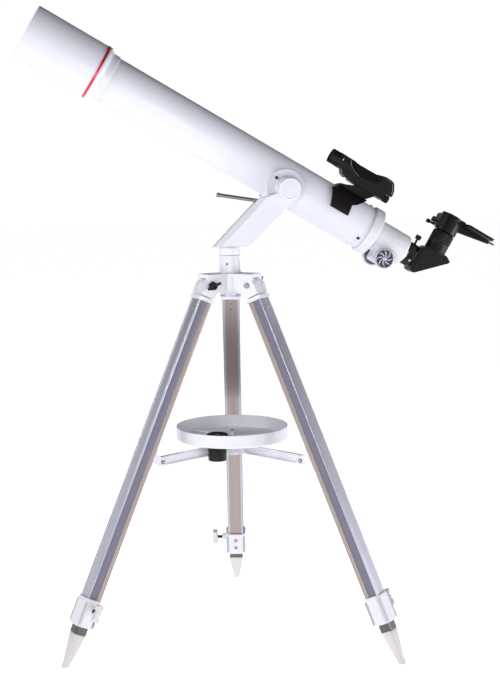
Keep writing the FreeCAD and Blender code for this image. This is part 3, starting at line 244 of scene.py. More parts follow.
# Each finish, the record's slot it belongs to, then its material: name, colour, roughness, grain
# in features per metre, relief in millimetres and its own options.
FINISH_TABLE = (
    ("enamel", "white_metal", "white_enamel", (0.66, 0.67, 0.745), 0.34, 900, 0.004,
     dict(vary=0.006, uneven=0.02, Specular_IOR_Level=0.25)),
    ("white", "white_plastic", "white_moulding", (0.66, 0.67, 0.725), 0.4, 1800, 0.012,
     dict(vary=0.012, uneven=0.03)),
    ("grey", "grey_plastic", "grey_moulding", (0.66, 0.66, 0.71), 0.46, 1600, 0.02,
     dict(vary=0.02, uneven=0.03)),
    ("light", "light_plastic", "foot_moulding", (0.58, 0.55, 0.57), 0.5, 1500, 0.03,
     dict(vary=0.04, uneven=0.04)),
    ("knob", "light_plastic", "wing_moulding", (0.62, 0.61, 0.62), 0.42, 1500, 0.02,
     dict(vary=0.02, uneven=0.03)),
    # painted shade for the hollows in the wing's lobes
    ("pocket", "light_plastic", "wing_hollow", (0.26, 0.17, 0.10), 0.6, 1500, 0.03,
     dict(vary=0.15)),
    ("red", "red_metal", "red_anodised", (0.58, 0.008, 0.045), 0.28, 2200, 0.015,
     dict(vary=0.12, Metallic=0.35, Coat_Weight=0.6, Coat_Roughness=0.1)),
    ("rail", "aluminium", "leg_aluminium", (0.50, 0.50, 0.60), 0.34, 2600, 0.02,
     dict(stretch=DRAWN, vary=0.06, Metallic=0.8)),
    # painted shade: dark strips on the floor of each rail channel
    ("channel", "dark_aluminium", "channel_aluminium", (0.16, 0.16, 0.215), 0.42, 2600, 0.02,
     dict(stretch=DRAWN, vary=0.08, Metallic=0.6)),
    # painted highlights: light strips along the corners of the rail's inner face
    ("rail_edge", "aluminium", "edge_aluminium", (0.44, 0.44, 0.54), 0.34, 2600, 0.02,
     dict(stretch=DRAWN, vary=0.06, Metallic=0.7)),
    # painted shade on the collar's four cut corners
    ("band", "grey_plastic", "chamfer_band", (0.43, 0.44, 0.50), 0.44, 1600, 0.02,
     dict(vary=0.03, uneven=0.03)),
    ("inner_rail", "dark_aluminium", "inner_aluminium", (0.115, 0.105, 0.105), 0.36, 2600, 0.02,
     dict(stretch=DRAWN, vary=0.15, Metallic=0.8)),
    ("bright", "bright_metal", "bright_turned", (0.74, 0.74, 0.77), 0.2, 3200, 0.01,
     dict(stretch=(1, 1, 12), vary=0.06, Metallic=1.0)),
    ("steel", "dark_steel", "dark_steel", (0.13, 0.13, 0.145), 0.34, 2400, 0.02,
     dict(stretch=(1, 1, 6), vary=0.15, Metallic=0.85)),
    ("rod", "dark_steel", "rod_steel", (0.23, 0.235, 0.24), 0.3, 2600, 0.02,
     dict(stretch=(1, 1, 0.05), vary=0.12, Metallic=0.85)),
    ("screw", "dark_steel", "plated_screw", (0.36, 0.35, 0.36), 0.32, 2400, 0.02,
     dict(vary=0.12, Metallic=0.85)),
    ("black_screw", "dark_steel", "black_screw", (0.03, 0.028, 0.032), 0.36, 2600, 0.02,
     dict(vary=0.2, Metallic=0.5)),
    ("silver", "silver_knob", "knob_silver", (0.56, 0.56, 0.65), 0.3, 1800, 0.03,
     dict(vary=0.08, Metallic=0.7)),
    # painted shade in the focus knob's recess between the spokes
    ("silver_dark", "silver_knob", "knob_recess", (0.075, 0.075, 0.115), 0.5, 1500, 0.05,
     dict(vary=0.2, Metallic=0.3)),
    ("black", "black_plastic", "black_moulding", BLACK, 0.42, 2200, 0.04,
     dict(vary=0.25, Specular_IOR_Level=0.16)),
    # painted shade: darker black for the finder's scooped side recess
    ("jet", "black_plastic", "jet_panel", (0.0035, 0.0022, 0.0024), 0.4, 1200, 0.01,
     dict(vary=0.2, uneven=0.04, Specular_IOR_Level=0.1)),
    ("black_gloss", "black_plastic", "black_gloss", BLACK, 0.26, 1200, 0.01,
     dict(vary=0.2, uneven=0.04, Specular_IOR_Level=0.2)),
    ("black_metal", "black_plastic", "black_anodised", (0.012, 0.010, 0.011), 0.34, 2600, 0.02,
     dict(vary=0.2, Specular_IOR_Level=0.3)),
    ("rubber", "black_plastic", "black_rubber", (0.009, 0.008, 0.008), 0.72, 1300, 0.06,
     dict(vary=0.2, Specular_IOR_Level=0.2)),
    ("flock", "black_plastic", "matt_lining", (0.006, 0.006, 0.006), 0.92, 2400, 0.15,
     dict(vary=0.3)),
    ("lens", "coated_glass", "coated_lens", (0.80, 0.86, 1.0), 0.04, 90, 0.001,
     dict(vary=0.02, uneven=0.02, Specular_Tint=(0.45, 0.75, 1.0, 1), **CLEAR)),
    ("glass", "clear_glass", "clear_pane", (0.93, 0.95, 0.96), 0.05, 90, 0.001,
     dict(vary=0.02, uneven=0.03, **CLEAR)),
    ("red_glass", "clear_glass", "finder_coating", (0.75, 0.30, 0.28), 0.05, 90, 0.001,
     dict(vary=0.05, uneven=0.03, Specular_Tint=(1.0, 0.5, 0.4, 1), **CLEAR)),
)
FINISHES = {
    finish: (surface(*described, **options), slot)
    for finish, slot, *described, options in FINISH_TABLE
}
# The channel in each side of a leg's rail, in the leg's frame.
CHANNEL_LOW = -3.5
CHANNEL_HIGH = 10
# The rails' warm tone on the inner side is a painted reflection of the floor.
paint_floor_reflection(FINISHES["rail"][0], CHANNEL_LOW, (0.33, 0.275, 0.26))


# ---- shapes

def rounded(corners, radius, steps=3):
    """A closed outline whose corners are small arcs; corners on the axis stay sharp."""
    outline = []
    count = len(corners)
    for index, corner in enumerate(corners):
        here = Vector(corner)
        before = Vector(corners[index - 1]) - here
        after = Vector(corners[(index + 1) % count]) - here
        if radius <= 0 or corner[0] == 0:
            outline.append(here)
            continue
        start = here + before * min(0.45, radius / before.length)
        end = here + after * min(0.45, radius / after.length)
        for step in range(steps + 1):
            part = step / steps
            outline.append(start * (1 - part) ** 2 + here * 2 * part * (1 - part) + end * part ** 2)
    return outline


def polar(radius, angle):
    return radius * math.cos(angle), radius * math.sin(angle)


def join(bm, ring, following):
    """Faces between two rings, either of which may be a single point."""
    if len(ring) == 1 and len(following) == 1:
        return
    count = max(len(ring), len(following))
    for index in range(count):
        after = (index + 1) % count
        if len(ring) == 1:
            bm.faces.new((ring[0], following[after], following[index]))
        elif len(following) == 1:
            bm.faces.new((ring[index], ring[after], following[0]))
        else:
            bm.faces.new((ring[index], ring[after], following[after], following[index]))


def turned(corners, radius=0.4, ripple=None, segments=SEGMENTS):
    """A solid of revolution about Z from (radius, height) corners, ripple added to its radius."""
    bm = bmesh.new()
    rings = []
    for away, height in rounded(corners, radius):
        if away < 1e-6:
            rings.append([bm.verts.new((0, 0, height))])
            continue
        ring = []
        for step in range(segments):
            angle = 2 * math.pi * step / segments
            far = away + (ripple(angle, away, height) if ripple else 0)
            ring.append(bm.verts.new((*polar(far, angle), height)))
        rings.append(ring)
    for index, ring in enumerate(rings):
        join(bm, ring, rings[(index + 1) % len(rings)])
    return bm


def sleeve(inside, outside, low, high, radius=0.4, segments=SEGMENTS):
    """A plain ring about Z, or a pin where the inside is 0."""
    corners = [(inside, low), (outside, low), (outside, high), (inside, high)]
    return turned(corners, radius, segments=segments)


def ribs(count, depth, inside, below=math.inf):
    """Ribs for turned() outside a radius and below a height."""
    return lambda angle, away, height: (
        depth * math.cos(count * angle) if away > inside and height < below else 0
    )


def notches(count, depth, inside):
    """Notches for turned() outside a radius."""
    return lambda angle, away, height: (
        -depth * (0.5 + 0.5 * math.cos(count * angle)) if away > inside else 0
    )


def lofted(rings, closed=False):
    """A skin over rings of points, capped at both ends unless it closes on itself."""
    bm = bmesh.new()
    made = [[bm.verts.new(point) for point in ring] for ring in rings]
    for ring, following in zip(made, made[1:]):
        join(bm, ring, following)
    if closed:
        join(bm, made[-1], made[0])
    else:
        bm.faces.new(made[0])
        bm.faces.new(made[-1])
    return bm


def extruded(outline, low, high, radius=0.0):
    """A plate of an (X, Y) outline between two heights."""
    edge = rounded(outline, radius)
    return lofted([[(x, y, low) for x, y in edge], [(x, y, high) for x, y in edge]])


def hollowed(edge, inside, low, high):
    """A tube between an outer and an inner (X, Y) outline of as many points."""
    levels = ((edge, low), (edge, high), (inside, high), (inside, low))
    return lofted([[(x, y, level) for x, y in ring] for ring, level in levels], closed=True)


def hollow_bar(outline, shrink, low, high, radius=0.0):
    """A tube of an (X, Y) outline, its inside the outline shrunk by two factors."""
    edge = rounded(outline, radius)
    return hollowed(edge, [(x * shrink[0], y * shrink[1]) for x, y in edge], low, high)


def rectangle(half_x, half_y, middle_x=0.0, middle_y=0.0):
    """The corners of a rectangle from its half sizes and its middle."""
    signs = ((-1, -1), (1, -1), (1, 1), (-1, 1))
    return [(middle_x + half_x * x, middle_y + half_y * y) for x, y in signs]


def octagon(half_x, half_y, cut):
    """The corners of a rectangle with its corners cut off."""
    return [
        (-half_x + cut, -half_y), (half_x - cut, -half_y), (half_x, -half_y + cut),
        (half_x, half_y - cut), (half_x - cut, half_y), (-half_x + cut, half_y),
        (-half_x, half_y - cut), (-half_x, -half_y + cut),
    ]


def circle_ring(radius, angles, level):
    return [(*polar(radius, angle), level) for angle in angles]


def cross_head(radius, height):
    """A pan head with a cross recess, standing on Z = 0."""
    slot = 0.16 * radius
    arm = 0.62 * radius
    recess = []
    for quarter in range(4):
        turn = Matrix.Rotation(math.radians(90 * quarter), 2)
        recess += [turn @ Vector(corner) for corner in ((arm, -slot), (arm, slot), (slot, slot))]
    angles = [math.atan2(point.y, point.x) for point in recess]
    dome = ((1, 0), (1, 0.45 * height), (0.9, 0.85 * height), (0.72, height))
    rings = [circle_ring(radius * share, angles, level) for share, level in dome]
    rings.append([(point.x, point.y, height) for point in recess])
    rings.append([(point.x * 0.8, point.y * 0.8, 0.3 * height) for point in recess])
    return lofted(rings)


def hex_head(radius, height):
    """A domed hexagon head."""
    angles = [math.radians(60 * step) for step in range(6)]
    dome = ((1, 0), (1, 0.7 * height), (0.88, height), (0.5, height * 1.12))
    return lofted([circle_ring(radius * share, angles, level) for share, level in dome])


def meniscus(radius, low, high, low_bulge, high_bulge, steps=14):
    """A lens: its two faces bulge by these amounts along Z between their edges."""
    def face(level, bulge):
        return [
            (radius * step / steps, level + bulge * (1 - (step / steps) ** 2))
            for step in range(steps + 1)
        ]
    return turned(face(low, low_bulge) + face(high, high_bulge)[::-1], 0)


def lens_pair(first, second):
    """Two lenses on one axis, each from the values of meniscus()."""
    return merged((meniscus(*first), WORLD), (meniscus(*second), WORLD))


def knurled_screw(radius, head, shaft, shaft_radius):
    """Thumbscrew with its head up Z from 0 and its shaft below."""
    grip = turned([
        (0, 0), (radius - 0.8, 0), (radius, 0.8), (radius, head - 0.8), (radius - 0.8, head),
        (radius - 1.6, head - 0.3), (0, head - 0.3),
    ], 0.2, ribs(28, 0.28, radius - 0.5), 168)
    return merged((grip, WORLD), (sleeve(0, shaft_radius, -shaft, 0.1, 0.2, 32), WORLD))


def merged(*parts):
    """One mesh of several shapes, each with its place."""
    whole = bmesh.new()
    for shape, place in parts:
        shape.transform(place)
        loose = bpy.data.meshes.new("loose")
        shape.to_mesh(loose)
        shape.free()
        whole.from_mesh(loose)
        bpy.data.meshes.remove(loose)
    return whole


def at(x, y, z, turn=WORLD):
    """The place of a shape inside merged()."""
    return Matrix.Translation((x, y, z)) @ turn


def metres_at(x, y, z, turn=WORLD):
    """A place given in millimetres for a piece with its own frame."""
    return Matrix.Translation((x * MM, y * MM, z * MM)) @ turn


def above_axis(x, z):
    """A place in the tube's middle plane for a piece whose Z points up the tube's X."""
    return TUBE @ metres_at(x, 0, z, TURN_X)


def side_on(sign, away):
    """Puts an (X, Z) outline on the near (-1) or far (1) side, its thickness outwards."""
    return basis(Vector((0, sign * away, 0)), (1, 0, 0), (0, 0, 1), (0, sign, 0))


def facing(direction):
    """A turn that points Z along a direction."""
    return Vector((0, 0, 1)).rotation_difference(Vector(direction)).to_matrix().to_4x4()


def placed(name, data, place):
    """An object in the scene at its place."""
    piece = bpy.data.objects.new(name, data)
    bpy.context.scene.collection.objects.link(piece)
    piece.matrix_world = place
    return piece


def finished(piece, body, finish, stands_for=()):
    """Give a piece its finish, the body it rides on and the CAD nodes it stands for."""
    material, slot = FINISHES[finish]
    piece.data.materials.append(material)
    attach(piece, body)
    if stands_for:
        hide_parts(*stands_for)


def add(name, bm, body, finish, place=WORLD, stands_for=(), edge=0.0, sharp=34):
    """Turn a shape into a piece with broken edges; sharp is the angle of an edge in degrees."""
    bmesh.ops.recalc_face_normals(bm, faces=bm.faces)
    bmesh.ops.scale(bm, vec=(MM, MM, MM), verts=bm.verts)
    mesh = bpy.data.meshes.new(name)
    bm.to_mesh(mesh)
    bm.free()
    mesh.shade_smooth()
    mesh.set_sharp_from_angle(angle=math.radians(sharp))
    piece = placed(name, mesh, place)
    if edge:
        bevel = piece.modifiers.new("broken_edges", "BEVEL")
        bevel.width = edge * MM
        bevel.segments = 3
        bevel.limit_method = "ANGLE"
        bevel.angle_limit = math.radians(sharp)
        bevel.harden_normals = True
    finished(piece, body, finish, stands_for)


def add_heads(name, radius, height, spots, body, finish, place):
    """A set of cross-head screws of one size."""
    heads = [(cross_head(radius, height), spot) for spot in spots]
    add(name, merged(*heads), body, finish, place)


def refined(node, finish, place=WORLD, edge=0.6):
    """The CAD solid with its flat faces made whole and its edges broken."""
    source = frame["nodes"][node]
    bm = bmesh.new()
    bm.from_mesh(source.data)
    bm.transform(place.inverted())
    bmesh.ops.remove_doubles(bm, verts=bm.verts, dist=1e-6)
    flat = math.radians(0.8)
    bmesh.ops.dissolve_limit(bm, angle_limit=flat, verts=bm.verts, edges=bm.edges)
    bmesh.ops.scale(bm, vec=(1 / MM, 1 / MM, 1 / MM), verts=bm.verts)
    add(f"{node}_finished", bm, source["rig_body"], finish, place, (node,), edge)


def repaint(node, finish):
    """A CAD node whose shape is right keeps it and gets its finish."""
    mesh = frame["nodes"][node].data
    mesh.materials.clear()
    mesh.materials.append(FINISHES[finish][0])


# ---- optical tube

def optical_tube():
    low, high = reach("main_tube", TUBE)
    inside = high.x - 1.2
    shell = sleeve(inside, high.x, low.z, high.z)
    add("optical_tube", shell, "tube", "enamel", TUBE, ("main_tube",))
    lining = sleeve(inside - 0.5, inside - 0.05, low.z + 40, high.z - 4, 0.1)
    add("tube_lining", lining, "tube", "flock", TUBE)
    repaint("tube_baffles", "flock")


def objective_end():
    low, high = reach("objective_cell", TUBE)
    neck = reach("main_tube", TUBE)[1].x
    plug = neck + 0.05
    flange = high.x
    shield_end = reach("accent_ring", TUBE)[0].z
    lens_low, lens_high = reach("objective_lens", TUBE)
    seat = lens_high.x
    cell = turned([
        (plug, low.z), (neck + 1.4, low.z), (neck + 1.8, low.z + 1), (neck + 1.8, low.z + 13),
        (neck + 4, low.z + 14.5), (flange - 2.2, low.z + 18.5), (flange, low.z + 18.8),
        (flange, shield_end), (flange - 2.65, shield_end), (flange - 2.65, high.z),
        (seat + 0.1, high.z), (seat + 0.1, lens_low.z - 0.2), (seat - 1.4, lens_low.z - 0.2),
        (seat - 1.4, low.z + 3.2), (plug, low.z + 3.2),
    ], 0.6)
    add("lens_cell", cell, "tube", "white", TUBE, ("objective_cell",))
    retainer = turned([
        (seat - 1.8, lens_high.z + 0.3), (seat, lens_high.z + 0.3), (seat, high.z + 0.1),
        (flange - 2.9, high.z + 0.1), (flange - 2.9, high.z + 1.4), (seat - 0.6, high.z + 1.4),
        (seat - 1.8, high.z - 1.5),
    ], 0.3, ribs(180, 0.25, flange - 4), SEGMENTS * 3)
    add("lens_retainer", retainer, "tube", "black_metal", TUBE)

    low, high = reach("accent_ring", TUBE)
    inside = high.x - 3.25
    ring = turned([
        (inside, low.z), (high.x - 0.4, low.z), (high.x, low.z + 0.6), (high.x, low.z + 1.1),
        (high.x - 0.5, low.z + 1.5), (high.x - 0.5, high.z - 1.5), (high.x, high.z - 1.1),
        (high.x, high.z - 0.6), (high.x - 0.4, high.z), (inside, high.z),
    ], 0.2)
    add("red_ring", ring, "tube", "red", TUBE, ("accent_ring",))

    low, high = reach("dew_shield", TUBE)
    bore = mounts["dew_shield_mouth"]["dims"]["r_mm"]
    shield = turned([
        (bore, low.z), (high.x - 0.2, low.z), (high.x, low.z + 0.6), (high.x, high.z - 0.8),
        (high.x - 0.4, high.z), (bore, high.z),
    ], 0.3)
    add("dew_shield_shell", shield, "tube", "enamel", TUBE, ("dew_shield",))
    lining = sleeve(bore - 0.35, bore - 0.03, low.z + 16.5, high.z - 1.2, 0.1)
    add("dew_shield_lining", lining, "tube", "flock", TUBE)


def objective_glass():
    low, high = reach("objective_lens", TUBE)
    radius = high.x - 0.1
    flint = (radius, low.z + 0.1, low.z + 6, 1.4, -2)
    crown = (radius, low.z + 6.6, high.z - 3.2, -1.9, 3.1)
    add("front_lens", lens_pair(flint, crown), "tube", "lens", TUBE, ("objective_lens",))


def rear_end():
    low, high = reach("rear_cell", TUBE)
    tube_low, tube_high = reach("main_tube", TUBE)
    end = tube_low.z
    plug = tube_high.x - 1.4
    opening = 24
    cell = turned([
        (opening, low.z), (high.x - 2.5, low.z), (high.x - 0.4, low.z + 1.6), (high.x, low.z + 4),
        (high.x, end - 1.2), (high.x - 0.8, end - 0.1), (plug, end - 0.1), (plug, high.z),
        (plug - 2.2, high.z), (plug - 2.2, low.z + 5), (opening, low.z + 5),
    ], 0.7)
    add("tube_end_cell", cell, "tube", "white", TUBE, ("rear_cell",))
    spot = at(tube_high.x - 0.1, 0, end + 9.4, TURN_X)
    spots = [spun(angle) @ spot for angle in (-6, 114, 234)]
    add_heads("tube_screws", 3.0, 1.4, spots, "tube", "black_screw", TUBE)


def altitude_axis():
    low, high = reach("altitude_cap", TUBE)
    middle = (low + high) / 2
    radius = (high.x - low.x) / 2
    depth = high.y - low.y
    axle = 6.05
    cap = turned([
        (axle, 0), (radius - 1.4, 0), (radius, 1.4), (radius, depth - 4),
        (radius - 0.9, depth - 1.2), (radius - 2.4, depth - 0.2), (radius - 3.4, depth - 0.9),
        (radius - 4.2, depth - 1.0), (0, depth - 0.4), (0, depth - 4.5), (axle, depth - 4.5),
    ], 0.5)
    spot = TUBE @ metres_at(middle.x, high.y, middle.z, TURN_BACK_Y)
    add("altitude_cover", cap, "tube", "enamel", spot, ("altitude_cap",))
    refined("pivot_plate", "enamel", TUBE, 0.9)
    repaint("altitude_axle", "steel")
    face = reach("pivot_plate", TUBE)[0].y + 0.05
    spots = [at(middle.x + 8, face, along, TURN_BACK_Y) for along in (23, -23)]
    add_heads("saddle_screws", 2.9, 0.5, spots, "tube", "black_screw", TUBE)


# ---- arm

def arm():
    refined("mount_arm", "enamel", WORLD, 1.0)
    place, radius, top = standing("azimuth_spindle")
    foot = (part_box("azimuth_base")[1].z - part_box("azimuth_spindle")[0].z) / MM
    spindle = turned([
        (0, 0), (8, 0), (8, foot + 0.4), (radius - 0.3, foot + 0.4), (radius, foot + 1.2),
        (radius, top - 1.5), (radius - 1, top), (0, top),
    ], 0.4)
    add("bearing_collar", spindle, "arm", "white", place, ("azimuth_spindle",))
    steering_rod()


def steering_rod():
    """Turned rod with a short thread in the arm and a rounded grip end."""
    low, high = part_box("steering_rod")
    thick = (high.y - low.y) / 2
    middle = (low.y + high.y) / 2
    root = Vector((high.x, middle, low.z + thick))
    tip = Vector((low.x, middle, high.z - thick))
    run = (tip - root).length / MM
    radius = 3.3
    thread = 24

    def threaded(angle, away, height):
        return 0.25 * math.sin(angle + height * 4) if 1 < height < thread else 0

    steps = [(radius, float(step) / 2) for step in range(2, thread * 2)]
    bar = turned([
        (0, 0), (3.0, 0), *steps, (radius, thread + 1), (radius, run - 7), (3.8, run - 6),
        (3.8, run - 1.2), (2.8, run), (0, run),
    ], 0.25, threaded, 48)
    place = Matrix.Translation(root) @ facing(tip - root)
    add("steering_handle", bar, "arm", "rod", place, ("steering_rod",))
    lug = turned([(0, -6), (1.7, -6), (1.7, 3.2), (1.2, 3.8), (0, 3.8)], 0.3, segments=32)
    spot = root + (tip - root) * 0.14 + Vector((0.001, -0.006, 0.008))
    place = Matrix.Translation(spot) @ facing((-0.7, 0, 0.7))
    add("arm_set_screw", lug, "arm", "bright", place)


# ---- tripod top

NUT_LEAN = {"back": 0, "left": -68, "right": 20}


def tripod_top():
    refined("tripod_hub", "white", WORLD, 1.0)
    place, radius, rise = standing("azimuth_base")
    seat = (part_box("tripod_hub")[1].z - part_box("azimuth_base")[0].z) / MM
    bore = 8.1
    body = turned([
        (0, 0), (10, 0), (10, seat), (radius + 1.2, seat), (radius + 1.2, seat + 1.2),
        (radius, seat + 2.6), (radius, rise - 0.8), (radius - 0.6, rise), (bore, rise), (bore, 5),
        (0, 5),
    ], 0.5)
    add("azimuth_sleeve", body, "tripod_top", "white", place, ("azimuth_base",))
    lock = math.radians(246)
    out = Vector((math.cos(lock), math.sin(lock), 0))
    spot = out * radius
    screw = place @ metres_at(spot.x, spot.y, seat + 16, facing(out))
    add("azimuth_screw_rim", sleeve(1.9, 3.1, -1, 0.5, 0.3, 40), "tripod_top", "white", screw)
    add("azimuth_screw", sleeve(0, 1.9, -1, 0.1, 0.2, 32), "tripod_top", "steel", screw)
    bolts, nuts = [], []
    for side in SIDES:
        hinge = hub_place(side)
        shank = turned([(0, -22), (2.6, -22), (3, -21.4), (3, 18.6), (0, 18.6)], 0.2, segments=32)
        bolts.append((shank, hinge @ TURN_X))
        bolts.append((hex_head(5.4, 3.4), hinge @ at(18.5, 0, 0, TURN_X)))
        nuts.append((wing_nut(NUT_LEAN[side]), hinge @ at(-18.5, 0, 0, TURN_BACK_X)))
    add("pivot_bolts", merged(*bolts), "tripod_top", "screw", WORLD, ("leg_pivot_bolts",), edge=0.2)
    add("pivot_wing_nuts", merged(*nuts), "tripod_top", "black", WORLD, ("leg_wing_nuts",),
        edge=0.7)


def hub_place(side):
    """The hinge of a leg in the hub's own upright frame, in millimetres."""
    across = LEGS[side].col[0].xyz
    up = Vector((0, 0, 1))
    origin = LEGS[side].translation / MM
    return basis(origin, across, up.cross(across), up)


def wing_nut(lean):
    """Lobed nut with two rounded wings, opening along Z, turned by an angle in degrees."""
    corners = [(3.05, 0), (7.4, 0), (7.4, 3), (5.6, 8), (3.05, 8)]
    lobes = turned(corners, 0.5, ribs(5, 0.6, 6), 80)
    wings = extruded([
        (-5, 1.5), (-12.5, 3.5), (-13.6, 8.8), (-8, 9.3), (-3.5, 7), (3.5, 7), (8, 9.3),
        (13.6, 8.8), (12.5, 3.5), (5, 1.5), (3.6, 1.5), (3.6, 5.8), (-3.6, 5.8), (-3.6, 1.5),
    ], -1.7, 1.7, 1.6)
    return merged((lobes, WORLD), (wings, spun(lean) @ side_on(-1, 0)))


# ---- legs

def leg(side):
    place = LEGS[side]
    refined(f"leg_head_{side}", "white", place, 1.0)
    for build in (rail, collar, lock, inner_rail, foot, bracket):
        build(side, place)
    strut(side)


def rail(side, place):
    """Extrusion with a broad channel in each side and two fine grooves in its outer face. Dark
    strips on the channel floors are painted shade.
    """
    low, high = reach(f"leg_rail_{side}", place)
    half_x, half_y = high.x, high.y
    channel = half_x - 1.2
    groove = half_y - 0.5
    right = [
        (half_x, -half_y), (half_x, CHANNEL_LOW), (channel, CHANNEL_LOW), (channel, CHANNEL_HIGH),
        (half_x, CHANNEL_HIGH), (half_x, half_y), (11.5, half_y), (11.2, groove), (10.6, groove),
        (10.3, half_y),
    ]
    left = [(-x, y) for x, y in right[::-1]]
    bar = hollow_bar(left[-1:] + right + left[:-1], (0.9, 0.82), low.z, high.z, 0.7)
    body = f"leg_{side}"
    add(f"rail_extrusion_{side}", bar, body, "rail", place, (f"leg_rail_{side}",), sharp=50)
    # A dark strip of painted shade lies on each channel floor.
    channel_shade_strip = (0.3, 6.6, channel + 0.25, 3.25)
    # Light strips of painted highlight lie along the corners of the inner face.
    highlight_strip = (1.6, 0.2, half_x - 2.6, -half_y)
    for name, finish, (half, other, away, level), radius in (
        ("channels", "channel", channel_shade_strip, 0.2), ("edges", "rail_edge", highlight_strip, 0.1),
    ):
        strips = []
        for sign in (-1, 1):
            outline = rectangle(half, other, sign * away, level)
            strips.append((extruded(outline, low.z + 1, high.z - 1, radius), WORLD))
        add(f"rail_{name}_{side}", merged(*strips), body, finish, place)
    heads = [
        (cross_head(3.9, 1.8), at(0, -half_y + 0.1, level, TURN_BACK_Y)) for level in (-34.5, -46)
    ]
    heads.append((cross_head(2.6, 1.0), at(0, half_y - 0.1, -45, TURN_Y)))
    add(f"rail_screws_{side}", merged(*heads), body, "screw", place)


def collar(side, place):
    """Eight-sided moulding with a lip round its top, a screw boss and two screws inside. Darker
    strips on its four cut corners are painted shade.
    """
    low, high = reach(f"lock_collar_{side}", place)
    half_x, half_y = high.x, high.y
    boss = low.x
    cut = 7
    body = f"leg_{side}"

    def outer(grow, level):
        edge = rounded(octagon(half_x, half_y, cut), 1.2)
        return [(x * grow, y * grow, level) for x, y in edge]

    def inner(half, other, level):
        return [(x, y, level) for x, y in rounded(octagon(half, other, 1), 0.6)]

    seat = low.z + 5
    shell = lofted([
        outer(0.95, low.z), outer(0.985, low.z + 1.2), outer(0.985, high.z - 5.5),
        outer(1.0, high.z - 5.0), outer(1.0, high.z - 1.0), outer(0.97, high.z),
        inner(15.2, 12.2, high.z), inner(15.2, 12.2, seat), inner(12.9, 9.9, seat),
        inner(12.9, 9.9, low.z),
    ], closed=True)
    # painted shade: darker strips laid on the four cut corners
    bands = []
    run = (high.z - 7.5 - low.z) / 2
    for across, out in ((1, 1), (-1, 1), (-1, -1), (1, -1)):
        x = across * (half_x - cut / 2) * 0.985
        y = out * (half_y - cut / 2) * 0.985
        lean = spun(45 * across * out) @ TURN_BACK_Y
        band = extruded(rectangle(3.6, run), -0.3, 0.3, 0.6)
        bands.append((band, at(x, y, low.z + 2 + run, lean)))
    add(f"collar_bands_{side}", merged(*bands), body, "band", place, edge=0.1)
    wing_low, wing_high = reach(f"lock_wing_{side}", place)
    height = (wing_low.z + wing_high.z) / 2
    guide = turned([
        (3.1, 0), (8.2, 0), (7.6, 5), (6.6, 6), (6.2, 11.5), (5.4, 12.2), (3.1, 12.2),
    ], 0.4, segments=64)
    whole = merged((shell, WORLD), (guide, at(boss + 11.5, 0, height, TURN_BACK_X)))
    add(f"collar_shell_{side}", whole, body, "grey", place, (f"lock_collar_{side}",), edge=0.35,
        sharp=50)
    spots = [at(0, -half_y + 0.2, high.z - drop, TURN_BACK_Y) for drop in (14, 32)]
    add_heads(f"collar_screws_{side}", 3.6, 1.6, spots, body, "screw", place)


def lock(side, place):
    """Bow-shaped wing on a threaded screw; dark discs on the collar's side of its lobes are painted
    shade where the real wing is hollow.
    """
    low, high = reach(f"lock_wing_{side}", place)
    height = (low.z + high.z) / 2
    span = (high.z - low.z) / 2 - 0.5
    outer = low.x
    body = f"leg_lock_{side}"
    half = [(3.2, 0), (3.4, 2.5), (5.0, 6), (6.0, 9.5), (6.0, 12.5), (4.8, span)]
    other = [(x, -y) for x, y in half[:0:-1]]
    bow = other + half + [(-x, y) for x, y in half[::-1]] + [(-x, -y) for x, y in half[1:]]
    plate = extruded(bow, 0.2, 8.8, 0.8)
    button = turned([(0, 0), (4.6, 0), (4.6, 9), (3.9, 10), (0, 10)], 0.5, segments=48)
    stand = basis(Vector((outer, 0, height)), (0, 1, 0), (0, 0, 1), (1, 0, 0))
    knob = merged((plate, stand), (button, stand))
    add(f"wing_knob_{side}", knob, body, "knob", place, (f"lock_wing_{side}",), edge=1.3)
    round_edge = [polar(4.3, 2 * math.pi * step / 32) for step in range(32)]
    # painted shade: a dark disc in each lobe on the collar's side
    shade_discs = []
    for sign in (-1, 1):
        pocket = extruded([(x * 0.85, y) for x, y in round_edge], 8.4, 9.0)
        shade_discs.append((pocket, stand @ at(0, sign * 9.2, 0)))
    add(f"wing_hollows_{side}", merged(*shade_discs), body, "pocket", place)
    thread = [(2.8, 0.5 + step / 4) for step in range(90)]
    shaft = turned(
        [(0, 0), (2.7, 0)] + thread + [(2.7, 23.4), (0, 23.4)],
        0, lambda angle, away, level: 0.22 * math.sin(angle + 2 * math.pi * level), 32,
    )
    spot = place @ metres_at(outer + 9, 0, height, TURN_X)
    add(f"wing_screw_{side}", shaft, body, "black_screw", spot)


def inner_rail(side, place):
    low, high = reach(f"inner_rail_{side}", place)
    bar = hollow_bar(rectangle(high.x, high.y), (0.82, 0.76), low.z, high.z, 1.6)
    add(f"inner_bar_{side}", bar, f"lower_leg_{side}", "inner_rail", place,
        (f"inner_rail_{side}",), sharp=50)


